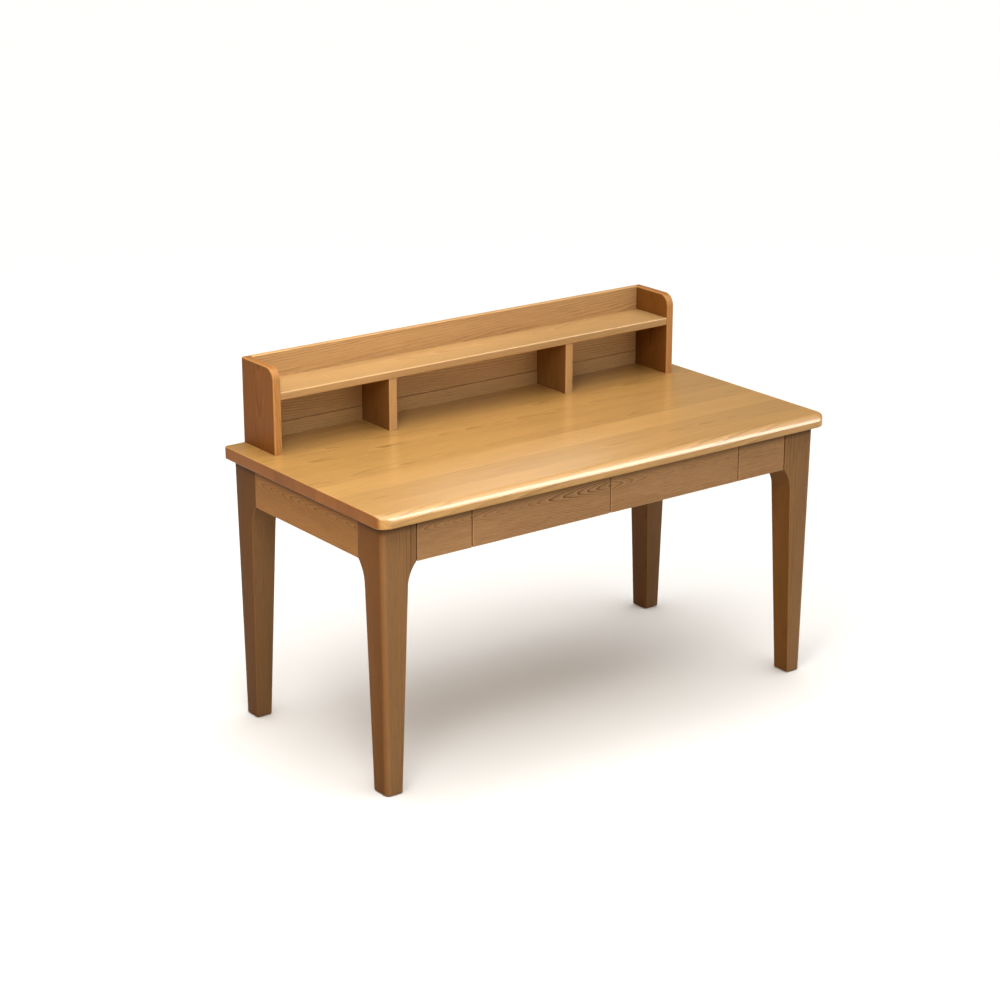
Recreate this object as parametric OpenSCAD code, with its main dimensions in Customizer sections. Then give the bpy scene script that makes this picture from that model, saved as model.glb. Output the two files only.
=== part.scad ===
// Solid wood writing desk with two flush drawers and a low hutch on its rear edge.
// Origin: on the floor, under the centre of the desktop. +X right, +Y to the back, +Z up.

/* [Desk] */
// Overall width of the desktop
desk_w = 1400; // [1200:10:1600]
// Overall depth of the desktop
desk_d = 700; // [600:10:800]
// Height of the desktop's upper face above the floor
desk_h = 720; // [660:5:780]

/* [Desktop slab] */
// Thickness of the glued slab
top_t = 32; // [27:1:40]
// Upper radius of the front nose
nose_r = 18; // [8:1:20]
// Lower radius of the front nose
nose_under_r = 6; // [2:1:7]
// Plan radius of the two front corners
corner_r = 28; // [22:1:45]
// Plan radius of the two rear corners
rear_corner_r = 10; // [6:1:20]
// Eased edge along the sides and the back
edge_r = 3; // [1:0.5:5]

/* [Legs] */
// Desktop overhang past the outer face of the legs at the sides
overhang_side = 20; // [8:1:40]
// Desktop overhang past the front legs
overhang_front = 30; // [20:1:50]
// Desktop overhang past the rear legs
overhang_rear = 10; // [4:1:40]
// Width of a leg's head, along the front
leg_w = 98; // [88:1:115]
// Depth of a leg's head, along the side
leg_d = 102; // [92:1:120]
// Width of a foot
foot_w = 46; // [36:1:60]
// Depth of a foot
foot_d = 56; // [40:1:68]
// How far a foot's outer side stands in from the head's, across the front
lean_x = 8; // [0:1:14]
// How far a foot's outer side stands in from the head's, along the side
lean_y = 6; // [0:1:14]
// Width that the bracket curve takes off the head
bracket_run = 24; // [14:1:30]
// Height of the bracket curve below the aprons
bracket_drop = 62; // [40:1:90]
// Rounding of a leg's outer corner
leg_corner_r = 14; // [4:1:22]
// Flat across a leg's inner corner that the hanger bolt goes into
leg_flat = 24; // [20:1:34]
// Thickness of the felt pad under a foot
pad_t = 2; // [1:0.5:5]
// How far a pad stands in from the edges of its foot
pad_margin = 5; // [2:1:12]

/* [Aprons] */
// Height of the aprons and drawer faces
apron_h = 105; // [98:1:130]
// Thickness of the aprons and front panels
apron_t = 22; // [18:1:26]
// How far aprons and faces stand back from the legs' outer faces
apron_setback = 1; // [0:0.5:4]
// Eased edge round the drawer faces, the front panels and the foot of the aprons
arris_r = 2; // [1:0.5:3]
// Thickness of a tenon
tenon_t = 10; // [6:1:12]
// Length of a tenon
tenon_l = 20; // [12:1:24]
// Shoulder above and below a tenon
tenon_shoulder = 15; // [8:1:25]
// Width of the fixed panel between a front leg and a drawer
front_panel_w = 161; // [130:1:200]
// Shadow gap round the drawer faces and beside the front legs
face_gap = 2.5; // [1.5:0.5:4]
// Depth of the flat rail under the front of the desktop
rail_d = 60; // [40:1:80]
// Thickness of that rail
rail_t = 20; // [16:1:22]

/* [Corner blocks] */
// Thickness of a corner block
block_t = 28; // [20:1:32]
// Height of a corner block
block_h = 60; // [40:1:64]
// Height of a corner block above the bottom edge of the aprons
block_rise = 16; // [8:1:18]
// Radius of a hanger bolt
bolt_r = 4; // [3:0.5:5]
// Depth of a hanger bolt in its leg
bolt_in_leg = 40; // [25:1:45]
// Width of a flange nut across its flats
nut_af = 13; // [11:0.5:16]
// Height of a flange nut, with its flange
nut_h = 8; // [6:0.5:10]

/* [Drawers] */
// Thickness of a drawer face
face_t = 20; // [17:1:22]
// Radius of the finger cove behind the lower edge of a face
cove_r = 13; // [8:1:14]
// Length of the finger cove
cove_l = 260; // [120:10:300]
// Thickness of the sides, front and back of a drawer box
box_t = 12; // [10:1:14]
// Height of a drawer box
box_h = 62; // [56:1:66]
// Depth of a drawer box, front to back
box_d = 450; // [400:10:480]
// Height of a drawer box above the bottom edge of its face
box_rise = 16; // [14:1:18]
// Thickness of a drawer bottom
bottom_t = 6; // [4:0.5:8]
// Height of the bottom's groove above the lower edge of the box
bottom_rise = 8; // [5:0.5:10]
// Depth of the groove that holds the bottom
groove_d = 5; // [3:0.5:6]
// Number of dovetails at each corner of a drawer box
tails = 3; // [2:1:5]
// Width of a dovetail pin at its narrow end
pin_w = 4; // [3:0.5:6]
// Spread of a dovetail's side over the board's thickness
tail_spread = 2; // [1:0.25:2.5]
// Thickness of the carriers between and beside the drawers
carrier_t = 20; // [19:1:26]
// Height of the carriers above the bottom edge of the aprons
carrier_rise = 4; // [2:1:10]
// Depth of the grooves in the rear apron that hold the carriers
carrier_groove = 6; // [3:1:9]

/* [Telescopic slides] */
// Length of a slide
slide_l = 450; // [400:10:480]
// Travel of a drawer
drawer_travel = 430; // [300:10:430]
// Distance from the carrier to the drawer box that a slide takes up
slide_w = 12.7; // [12.7:0.1:14]
// Height of the fixed rail
slide_h = 45; // [45:0.5:50]
// Thickness of the steel
steel_t = 1.2; // [1:0.1:1.3]
// Radius of the balls beside the fixed rail
ball_r = 1.9; // [1.8:0.05:1.9]
// Radius of the balls beside the moving rail
small_ball_r = 1.7; // [1.6:0.05:1.7]
// Number of balls in each row of a cage
balls = 5; // [3:1:8]
// Thickness of a ball cage
cage_t = 0.5; // [0.4:0.05:0.6]
// Running clearance between a ball and its race
ball_clear = 0.1; // [0.05:0.01:0.15]
// Distance of the end screws from the ends of a rail
screw_inset = 35; // [20:1:60]

/* [Hutch] */
// How far the hutch stands in from the desktop's sides
hutch_inset = 59; // [10:1:120]
// Depth of the hutch
hutch_d = 148; // [120:1:220]
// Height of the hutch above the desktop
hutch_h = 221; // [180:1:320]
// Thickness of the hutch sides
hutch_t = 22; // [18:1:28]
// Radius of the upper front corner of a side
hutch_corner_r = 32; // [12:1:45]
// Eased edge of the hutch sides
hutch_edge_r = 4; // [1:0.5:6]
// Height of the shelf's upper face above the desktop
shelf_top = 157; // [120:1:200]
// Thickness of the shelf
shelf_t = 20; // [16:1:26]
// How far the shelf stands back from the front of the sides
shelf_setback = 2.5; // [1:0.5:10]
// Eased edge of the shelf and the dividers
shelf_edge_r = 3; // [1:0.5:5]
// Depth of the housings that hold the shelf and the dividers
housing_d = 5; // [3:0.5:8]
// How far a housing stops behind the front edge of its board
housing_stop = 10; // [6:1:20]
// Thickness of a divider
divider_t = 24; // [18:1:28]
// Distance from the middle of the hutch to the middle of a divider
divider_x = 284; // [150:1:400]
// How far the dividers stand back from the front of the shelf
divider_setback = 3; // [1:0.5:12]
// Thickness of the back
back_t = 16; // [12:1:20]
// Height of the back's lower rail
back_rail_h = 37; // [25:1:60]
// Shadow groove between the lower rail and the back panel
back_groove = 1.5; // [0.5:0.5:3]
// Size of the tongue between the lower rail and the back panel
tongue = 6; // [4:1:7]
// Radius of a dowel
dowel_r = 4; // [3:0.5:5]
// Length of a dowel
dowel_l = 28; // [20:1:36]
// Distance of a dowel from the end of its board
dowel_inset = 34; // [22:1:45]

/* [Fasteners] */
// Radius of a wood screw's shank
screw_r = 1.75; // [1.5:0.05:2]
// Radius of a wood screw's head
screw_head_r = 3; // [2.6:0.1:3.4]
// Length of a rail screw in the wood
rail_screw_l = 9; // [6:0.5:9]
// Length of a drawer face screw in the face
face_screw_l = 13; // [8:0.5:15]
// Distance between the two columns of face screws
face_screw_span = 240; // [120:10:300]
// Distance between the two rows of face screws
face_screw_rows = 26; // [16:1:30]
// Height of a pan head
pan_h = 1.8; // [1.2:0.1:2.4]
// Length of each arm of a desktop bracket
bracket_arm = 28; // [24:1:32]
// Distance of a bracket's screws from its corner
bracket_hole = 17; // [14:0.5:18]
// Width of a desktop bracket
bracket_w = 18; // [12:1:24]
// Thickness of a desktop bracket
bracket_t = 2; // [1.5:0.5:3]
// Length of a bracket screw in the wood
bracket_screw_l = 14; // [8:1:16]
// Distance between the two brackets on a side apron
bracket_pitch_side = 240; // [120:10:240]
// Distance between the two brackets on the rear apron
bracket_pitch_rear = 420; // [200:10:600]

/* [Hidden] */
$fn = 48;

// Colours
honey = [0.84, 0.65, 0.40];
oak = [0.66, 0.48, 0.31];
oak_dark = [0.58, 0.40, 0.24];
box_wood = [0.80, 0.68, 0.50];
steel = [0.72, 0.73, 0.75];
felt = [0.25, 0.18, 0.13];

// Small sizes that the whole model shares
eps = 0.01;          // overlap of solids that are joined
reach = 10;          // how far a cutting solid stands past what it cuts
fit_gap = 0.1;       // clearance of a glued or pressed fit, on each side
bore_gap = 0.05;     // radial clearance of a bolt, dowel or screw in its hole
seat_depth = 1;      // room left beyond the end of a tenon or dowel
rail_shoulder = 10;  // shoulder at the front and back of the front rail's tenon
rail_cheek = 5;      // shoulder above and below it
slide_back = 3;      // how far the slides stand behind the front ends of the carriers
bolt_end = 4;        // how far a hanger bolt stands past its nut
bolt_clear = 0.5;    // radial clearance of a hanger bolt in its corner block
flange_h = 2;        // height of a nut's flange
flange_rim = 2.25;   // how far the flange stands out past the nut's corners
bracket_fn = 96;     // fineness of the legs' bracket curves
ball_fn = 24;        // fineness of the balls

// Levels
z_under = desk_h - top_t;                 // underside of the desktop
z_apron = z_under - apron_h;              // bottom edge of the aprons
z_rail = z_under - rail_t;                // underside of the front rail
z_box = z_apron + box_rise;               // bottom of a drawer box
z_slide = z_box + box_h / 2;              // centre line of the slides
z_block = z_apron + block_rise;           // bottom of the corner blocks
z_shelf = desk_h + shelf_top - shelf_t;   // underside of the hutch shelf

// Outer faces of the legs' heads
x_leg = desk_w / 2 - overhang_side;
y_front = -desk_d / 2 + overhang_front;
y_rear = desk_d / 2 - overhang_rear;

// Planes of the fronts
y_face = y_front + apron_setback;         // front of the drawer faces and panels
y_panel = y_face + apron_t;               // rear of the fixed panels, front of rail and carriers
y_box = y_face + face_t;                  // rear of the faces, front of the drawer boxes
y_apron_in = y_rear - apron_setback - apron_t;   // inner face of the rear apron
y_slide = y_panel + slide_back;                    // front end of the slides

// Drawers, from the middle of the desk outwards
x_seam = x_leg - leg_w - front_panel_w;   // seam between a drawer face and a fixed panel
x_in = carrier_t / 2;                     // inner end of the space for a drawer and its slides
x_out = x_seam - carrier_t / 2;           // outer end of that space
x_box_in = x_in + slide_w;                // inner face of a drawer box
x_box_out = x_out - slide_w;              // outer face of a drawer box
x_drawer = (x_in + x_out) / 2;            // middle of a drawer

// Bracket curve: a circle that meets the leg upright and passes through the apron's edge
bracket_r = (bracket_run * bracket_run + bracket_drop * bracket_drop) / (2 * bracket_run);

// Corner blocks, in a leg's own axes: distance in from its two outer faces
block_near = leg_w + leg_d - leg_flat;            // u + v on the leg's flat
block_far = block_near + block_t * sqrt(2);       // u + v on the block's free side
apron_line = apron_setback + apron_t;             // inner faces of the aprons
bolt_u = leg_w - leg_flat / 2;
bolt_v = leg_d - leg_flat / 2;
bolt_l = bolt_in_leg + block_t + nut_h + bolt_end;

// Slide cross-section, from the carrier (s = 0) to the drawer box (s = slide_w)
rail_gap = 0.25;                                  // between sheets that slide past each other
mid_s = steel_t + cage_t + 2 * rail_gap;          // carrier side of the middle rail
lip = 1.2;                                        // height of the lips that keep the balls in
lip_gap = 0.6;                                    // between a lip and the balls or the next web
lip_room = 3;                                     // between the fixed rail's lips and the drawer box
cage_front = 5;                                   // left in front of a ball cage on its rails
cage_rear = 10;                                   // left behind a ball cage on its rails
fixed_in = slide_h / 2 - steel_t;                 // inner face of the fixed rail's flanges
mid_out = fixed_in - 2 * (ball_r + ball_clear);   // outer face of the middle rail's flanges
mid_in = mid_out - steel_t;                       // and their inner face
move_out = mid_in - 2 * (small_ball_r + ball_clear);   // outer face of the moving rail's flanges
cage2_s = mid_s + steel_t + rail_gap;             // web of the second cage
move_s = cage2_s + cage_t + rail_gap;             // edge of the moving rail's flanges
fixed_edge = slide_w - lip_room;                  // edge of the fixed rail's flanges
mid_edge = slide_w - steel_t - lip_gap;           // edge of the middle rail's flanges
ball_s = fixed_edge - steel_t - ball_r - lip_gap;         // centres of the balls beside the fixed rail
small_ball_s = mid_edge - steel_t - small_ball_r - lip_gap;    // and beside the moving rail
cage_l = slide_l - drawer_travel / 2 - cage_front - cage_rear;    // length of a ball cage
y_cage = y_slide + drawer_travel / 4 + cage_front;        // front end of a ball cage at rest
screw_rows = [screw_inset, slide_l / 2, slide_l - screw_inset];

// Hutch
x_hutch = desk_w / 2 - hutch_inset;
x_hutch_in = x_hutch - hutch_t;
y_hutch = desk_d / 2 - hutch_d;
y_back = desk_d / 2 - back_t;
y_shelf = y_hutch + shelf_setback;
y_divider = y_shelf + divider_setback;
z_panel = desk_h + back_rail_h + back_groove;      // lower edge of the back panel
tongue_y = y_back + (back_t - tongue) / 2;        // front of the tongue on the back rail

// ---------- Helpers ----------

// A child in the place of one leg: its own x and y run inwards from the leg's outer faces
module at_corner(right, rear) {
    translate([right ? x_leg : -x_leg, rear ? y_rear : y_front, 0])
        mirror([right ? 1 : 0, 0, 0])
            mirror([0, rear ? 1 : 0, 0])
                children();
}

module at_each_corner() {
    for (right = [false, true])
        for (rear = [false, true])
            at_corner(right, rear) children();
}

// The drawers are mirror images: children are drawn on the right-hand side
module drawer_side(left) {
    mirror([left ? 1 : 0, 0, 0]) children();
}

// One slide's own axes: x runs from the carrier to the drawer box, z from the centre line
module at_slide(inner) {
    translate([inner ? x_in : x_out, y_slide, z_slide])
        mirror([inner ? 0 : 1, 0, 0])
            children();
}

// Edge of a board: tip at x = 0, thickness t along y, with its two corners rounded
module edge_2d(depth, t, r_low, r_high) {
    difference() {
        square([depth, t]);
        edge_corner_2d(r_low);
        translate([0, t]) mirror([0, 1]) edge_corner_2d(r_high);
    }
}

// What rounding takes off a corner at the origin
module edge_corner_2d(r) {
    difference() {
        translate([-reach, -reach]) square(r + reach);
        translate([r, r]) circle(r);
    }
}

// Rectangle from the origin with all corners rounded
module rounded_2d(w, h, r) {
    translate([r, 0]) square([w - 2 * r, h]);
    translate([0, r]) square([w, h - 2 * r]);
    for (x = [r, w - r])
        for (y = [r, h - r])
            translate([x, y]) circle(r);
}

// Children drawn in the X-Z plane, extruded towards +Y
module along_y(length) {
    translate([0, length, 0]) rotate([90, 0, 0]) linear_extrude(length) children();
}

// Children drawn in the Y-Z plane, extruded towards +X
module along_x(length) {
    rotate([90, 0, 90]) linear_extrude(length) children();
}

// Box between two corners
module block(low, high) {
    translate(low) cube(high - low);
}

// The same box, with the four edges of its face towards -Y eased
module eased_block(low, high) {
    size = high - low;
    translate(low)
        intersection() {
            along_x(size[0]) edge_2d(size[1], size[2], arris_r, arris_r);
            linear_extrude(size[2])
                rotate(90) mirror([0, 1]) edge_2d(size[1], size[0], arris_r, arris_r);
        }
}

// Countersunk screw: head flush with z = 0, shank towards +z
module countersunk(head_h, length, gap = 0) {
    translate([0, 0, -gap]) cylinder(r = screw_r + gap, h = head_h + length + gap);
    cylinder(r1 = screw_head_r + gap, r2 = screw_r + gap, h = head_h);
}

// Pan-head screw: underside of the head at z = 0, shank towards +z
module pan_screw(length) {
    cylinder(r = screw_r, h = length);
    translate([0, 0, -pan_h]) rotate_extrude()
        intersection() {
            union() {
                square([screw_head_r - pan_h / 2, pan_h]);
                translate([screw_head_r - pan_h / 2, pan_h / 2]) circle(pan_h / 2);
                translate([0, pan_h / 2]) square([screw_head_r, pan_h / 2]);
            }
            square([screw_head_r, pan_h]);
        }
}

module pan_hole(length) {
    translate([0, 0, -reach]) cylinder(r = screw_r + bore_gap, h = length + reach + seat_depth);
}

// ---------- Desktop ----------

module desktop_slab() {
    straight = desk_w - 2 * corner_r;
    rear_straight = desk_w - 2 * rear_corner_r;
    body_d = desk_d - corner_r - rear_corner_r;
    // body, with eased side edges
    translate([-desk_w / 2, -desk_d / 2 + corner_r, 0])
        along_y(body_d) rounded_2d(desk_w, top_t, edge_r);
    // front nose, and the same nose carried round the two corners
    translate([-straight / 2, -desk_d / 2, 0])
        along_x(straight) edge_2d(corner_r + reach, top_t, nose_under_r, nose_r);
    for (side = [-1, 1])
        translate([side * straight / 2, -desk_d / 2 + corner_r, 0])
            rotate([0, 0, side < 0 ? 180 : 270])
                rotate_extrude(angle = 90)
                    translate([corner_r, 0]) mirror([1, 0])
                        edge_2d(corner_r, top_t, nose_under_r, nose_r);
    // rear edge and its corners
    translate([-rear_straight / 2, desk_d / 2, 0]) mirror([0, 1, 0])
        along_x(rear_straight) edge_2d(rear_corner_r + reach, top_t, edge_r, edge_r);
    for (side = [-1, 1])
        translate([side * rear_straight / 2, desk_d / 2 - rear_corner_r, 0])
            rotate([0, 0, side < 0 ? 90 : 0])
                rotate_extrude(angle = 90)
                    translate([rear_corner_r, 0]) mirror([1, 0])
                        edge_2d(rear_corner_r, top_t, edge_r, edge_r);
}

module desktop() {
    color(honey)
        difference() {
            translate([0, 0, z_under]) desktop_slab();
            dowel_holes();
            bracket_screw_holes();
        }
}

// ---------- Legs ----------

// Inner side of a leg: taper, bracket curve and upright head, drawn from the outer face
module leg_profile_2d(head, foot, lean) {
    knee = head - bracket_run;
    difference() {
        polygon([
            [-reach, pad_t], [lean + foot, pad_t],
            [knee, z_apron - bracket_drop], [head, z_apron - bracket_drop],
            [head, z_under], [-reach, z_under]
        ]);
        translate([knee + bracket_r, z_apron - bracket_drop]) circle(bracket_r, $fn = bracket_fn);
    }
}

// Outer side of a leg: a post that leans inwards to the foot, with a rounded corner
module leg_post() {
    rise = z_under - pad_t;
    length = norm([lean_x, lean_y, rise]);
    side = 2 * max(leg_w, leg_d);
    translate([lean_x, lean_y, pad_t])
        rotate([asin(lean_y / length), -atan2(lean_x, rise), 0])
            translate([0, 0, -reach])
                linear_extrude(length + 2 * reach) {
                    translate([leg_corner_r, 0]) square([side, side]);
                    translate([0, leg_corner_r]) square([side, side]);
                    translate([leg_corner_r, leg_corner_r]) circle(leg_corner_r);
                }
}

// Tenon of the side apron and of the front panel or rear apron, grown by gap
module apron_tenon(along_side, gap) {
    mid = apron_setback + apron_t / 2;
    size_t = tenon_t / 2 + gap;
    low = z_apron + tenon_shoulder - gap;
    high = z_under - tenon_shoulder + gap;
    deep = tenon_l + (gap > 0 ? seat_depth : 0);
    if (along_side)
        block([mid - size_t, leg_d - deep, low], [mid + size_t, leg_d + reach, high]);
    else
        block([leg_w - deep, mid - size_t, low], [leg_w + reach, mid + size_t, high]);
}

// Tenon of the front rail, grown by gap
module rail_tenon(gap) {
    front = apron_line + rail_shoulder - gap;
    rear = apron_line + rail_d - rail_shoulder + gap;
    deep = tenon_l + (gap > 0 ? seat_depth : 0);
    block([leg_w - deep, front, z_rail + rail_cheek - gap],
        [leg_w + reach, rear, z_under - rail_cheek + gap]);
}

module leg(rear) {
    difference() {
        intersection() {
            along_y(leg_d) leg_profile_2d(leg_w, foot_w, lean_x);
            rotate([90, 0, 90]) linear_extrude(leg_w) leg_profile_2d(leg_d, foot_d, lean_y);
            leg_post();
        }
        // flat for the corner block
        translate([bolt_u, bolt_v, z_apron]) rotate([0, 0, 45])
            translate([0, -leg_flat, 0]) cube([leg_flat, 2 * leg_flat, apron_h + reach]);
        apron_tenon(true, fit_gap);
        apron_tenon(false, fit_gap);
        if (!rear) rail_tenon(fit_gap);
        hanger_bolt(bore_gap);
    }
}

module leg_at(right, rear) {
    color(oak) at_corner(right, rear) leg(rear);
}

module foot_pads() {
    color(felt)
        at_each_corner()
            translate([lean_x + pad_margin, lean_y + pad_margin, 0])
                linear_extrude(pad_t)
                    rounded_2d(foot_w - 2 * pad_margin, foot_d - 2 * pad_margin, pad_margin);
}

// ---------- Corner blocks and their bolts ----------

// Straight line along a bolt's axis: z runs from the leg's flat towards the middle of the desk
module on_bolt_axis() {
    translate([bolt_u, bolt_v, z_block + block_h / 2])
        rotate([0, 90, 45]) children();
}

module hanger_bolt(gap = 0) {
    deep = bolt_in_leg + (gap > 0 ? seat_depth : 0);
    on_bolt_axis() translate([0, 0, -deep]) cylinder(r = bolt_r + gap, h = bolt_l - bolt_in_leg + deep);
}

module corner_blocks() {
    near = block_near - apron_line;
    far = block_far - apron_line;
    color(box_wood)
        at_each_corner()
            difference() {
                translate([0, 0, z_block]) linear_extrude(block_h)
                    polygon([[near, apron_line], [far, apron_line], [apron_line, far], [apron_line, near]]);
                on_bolt_axis() translate([0, 0, -reach])
                    cylinder(r = bolt_r + bolt_clear, h = block_t + 2 * reach);
            }
}

module hanger_bolts() {
    color(steel) at_each_corner() hanger_bolt();
}

module flange_nuts() {
    color(steel)
        at_each_corner()
            on_bolt_axis() translate([0, 0, block_t])
                difference() {
                    union() {
                        cylinder(r = nut_af / sqrt(3) + flange_rim, h = flange_h);
                        cylinder(r = nut_af / sqrt(3), h = nut_h, $fn = 6);
                    }
                    translate([0, 0, -reach]) cylinder(r = bolt_r + bore_gap, h = nut_h + 2 * reach);
                }
}

// ---------- Aprons, front panels and front rail ----------

// Upright section of an apron, from its outer face inwards, with its foot eased outside
module apron_2d() {
    translate([apron_setback, z_apron])
        difference() {
            square([apron_t, apron_h]);
            edge_corner_2d(arris_r);
        }
}

module side_apron(right) {
    color(oak_dark)
        difference() {
            for (rear = [false, true])
                at_corner(right, rear) {
                    half = (y_rear - y_front) / 2;
                    translate([0, leg_d, 0]) along_y(half - leg_d) apron_2d();
                    intersection() {
                        apron_tenon(true, 0);
                        block([0, 0, 0], [leg_w, leg_d + eps, desk_h]);
                    }
                }
            bracket_screw_holes();
        }
}

module rear_apron() {
    color(oak_dark)
        difference() {
            for (right = [false, true])
                at_corner(right, true) {
                    translate([leg_w, 0, 0]) along_x(x_leg - leg_w) apron_2d();
                    intersection() {
                        apron_tenon(false, 0);
                        block([0, 0, 0], [leg_w + eps, leg_d, desk_h]);
                    }
                }
            for (x = [-x_seam, 0, x_seam])
                block([x - carrier_t / 2 - fit_gap, y_apron_in - reach, z_apron + carrier_rise - fit_gap],
                    [x + carrier_t / 2 + fit_gap, y_apron_in + carrier_groove + fit_gap, z_under + reach]);
            bracket_screw_holes();
        }
}

module front_panel(right) {
    color(oak)
        at_corner(right, false) {
            eased_block([leg_w + face_gap, apron_setback, z_apron],
                [leg_w + front_panel_w - face_gap / 2, apron_line, z_under]);
            intersection() {
                apron_tenon(false, 0);
                block([0, 0, 0], [leg_w + face_gap + eps, leg_d, desk_h]);
            }
        }
}

module front_rail() {
    color(oak)
        for (right = [false, true])
            at_corner(right, false) {
                block([leg_w, apron_line, z_rail], [x_leg, apron_line + rail_d, z_under]);
                intersection() {
                    rail_tenon(0);
                    block([0, 0, 0], [leg_w + eps, leg_d, desk_h]);
                }
            }
}

// ---------- Drawer carriers ----------

module drawer_carrier(x) {
    color(box_wood)
        difference() {
            block([x - carrier_t / 2, y_panel, z_apron + carrier_rise],
                [x + carrier_t / 2, y_apron_in + carrier_groove, z_under]);
            block([x - carrier_t, y_panel - reach, z_rail],
                [x + carrier_t, y_panel + rail_d, z_under + reach]);
            fixed_rail_screw_set(true, bore_gap);
            fixed_rail_screw_set(false, bore_gap);
            bracket_screw_holes();
        }
}

// ---------- Desktop brackets ----------

// Each place: position on the face that carries the bracket, and the turn about Z that
// points the bracket's free arm away from that face
bracket_places = [
    [-x_leg + apron_line, (y_front + y_rear) / 2 - bracket_pitch_side / 2, 0],
    [-x_leg + apron_line, (y_front + y_rear) / 2 + bracket_pitch_side / 2, 0],
    [x_leg - apron_line, (y_front + y_rear) / 2 - bracket_pitch_side / 2, 180],
    [x_leg - apron_line, (y_front + y_rear) / 2 + bracket_pitch_side / 2, 180],
    [-bracket_pitch_rear / 2, y_apron_in, 270],
    [bracket_pitch_rear / 2, y_apron_in, 270],
    [carrier_t / 2, (y_front + y_rear) / 2 - bracket_pitch_side / 2, 0],
    [-carrier_t / 2, (y_front + y_rear) / 2 + bracket_pitch_side / 2, 180]
];

module at_each_bracket() {
    for (place = bracket_places)
        translate([place[0], place[1], z_under]) rotate([0, 0, place[2]]) children();
}

// Screw axes of one bracket: z runs into the apron, and up into the desktop
module bracket_screw_axes() {
    translate([bracket_t, 0, -bracket_hole]) rotate([0, -90, 0]) children();
    translate([bracket_hole, 0, -bracket_t]) children();
}

module bracket_2d() {
    difference() {
        translate([0, -bracket_arm]) square([bracket_arm, bracket_arm]);
        translate([bracket_t, -bracket_arm - reach])
            square([bracket_arm + reach, bracket_arm + reach - bracket_t]);
    }
}

module desktop_brackets() {
    color(steel)
        at_each_bracket()
            difference() {
                translate([0, -bracket_w / 2, 0]) along_y(bracket_w) bracket_2d();
                bracket_screw_axes()
                    translate([0, 0, -reach]) cylinder(r = screw_r + bore_gap, h = 2 * reach);
            }
}

module bracket_screws() {
    color(steel) at_each_bracket() bracket_screw_axes() pan_screw(bracket_t + bracket_screw_l);
}

module bracket_screw_holes() {
    at_each_bracket() bracket_screw_axes() pan_hole(bracket_t + bracket_screw_l);
}

// ---------- Telescopic slides ----------

// Channel with its web at s = 0, flanges out to s = depth, and lips at their edges.
// A positive lip points towards the centre line, a negative one away from it.
module channel_2d(half_h, depth, lip_h) {
    square_from([0, -half_h], [steel_t, half_h]);
    for (flip = [0, 1])
        mirror([0, flip]) {
            square_from([0, half_h - steel_t], [depth, half_h]);
            if (lip_h > 0)
                square_from([depth - steel_t, half_h - steel_t - lip_h], [depth, half_h]);
            else
                square_from([depth - steel_t, half_h - steel_t], [depth, half_h - lip_h]);
        }
}

module square_from(low, high) {
    translate(low) square(high - low);
}

// Rails and cages, in a slide's own axes
module fixed_rail(inner) {
    color(steel)
        at_slide(inner)
            difference() {
                along_y(slide_l) channel_2d(slide_h / 2, fixed_edge, lip);
                rail_screw_places() translate([steel_t, 0, 0]) rotate([0, -90, 0])
                    countersunk(steel_t, rail_screw_l, bore_gap);
            }
}

module middle_rail(inner) {
    at_slide(inner)
        translate([mid_s, 0, 0]) along_y(slide_l) channel_2d(mid_out, mid_edge - mid_s, lip);
}

module moving_rail(inner) {
    color(steel)
        at_slide(inner)
            difference() {
                translate([slide_w, 0, 0]) mirror([1, 0, 0])
                    along_y(slide_l) channel_2d(move_out, slide_w - move_s, -lip);
                rail_screw_places() translate([slide_w - steel_t, 0, 0]) rotate([0, 90, 0])
                    countersunk(steel_t, rail_screw_l, bore_gap);
            }
}

module rail_screw_places() {
    for (y = screw_rows)
        translate([0, y, 0]) children();
}

// A cage is a light channel whose flanges carry two rows of balls
module ball_cage(inner, web_s, row_s, row_z, r) {
    at_slide(inner)
        translate([0, y_cage - y_slide, 0]) {
            translate([web_s, 0, 0]) along_y(cage_l) {
                square_from([0, -row_z - cage_t / 2], [cage_t, row_z + cage_t / 2]);
                for (flip = [0, 1])
                    mirror([0, flip])
                        square_from([0, row_z - cage_t / 2], [row_s + r - web_s, row_z + cage_t / 2]);
            }
            for (i = [0 : balls - 1])
                for (side = [-1, 1])
                    translate([row_s, cage_l * (i + 0.5) / balls, side * row_z]) sphere(r, $fn = ball_fn);
        }
}

module fixed_rail_screw_set(inner, gap) {
    for (left = [false, true])
        drawer_side(left) at_slide(inner)
            rail_screw_places() translate([steel_t, 0, 0]) rotate([0, -90, 0])
                countersunk(steel_t, rail_screw_l + (gap > 0 ? seat_depth : 0), gap);
}

module moving_rail_screw_set(gap) {
    for (inner = [false, true])
        at_slide(inner)
            rail_screw_places() translate([slide_w - steel_t, 0, 0]) rotate([0, 90, 0])
                countersunk(steel_t, rail_screw_l + (gap > 0 ? seat_depth : 0), gap);
}

module fixed_rail_screws() {
    color(steel) {
        fixed_rail_screw_set(true, 0);
        fixed_rail_screw_set(false, 0);
    }
}

module middle_rails() {
    color(steel) {
        middle_rail(true);
        middle_rail(false);
    }
}

module fixed_ball_cages() {
    row = (fixed_in + mid_out) / 2;
    color(steel)
        for (inner = [false, true])
            ball_cage(inner, steel_t + rail_gap, ball_s, row, ball_r);
}

module moving_ball_cages() {
    row = (mid_in + move_out) / 2;
    color(steel)
        for (inner = [false, true])
            ball_cage(inner, cage2_s, small_ball_s, row, small_ball_r);
}

// ---------- Drawers ----------

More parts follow.
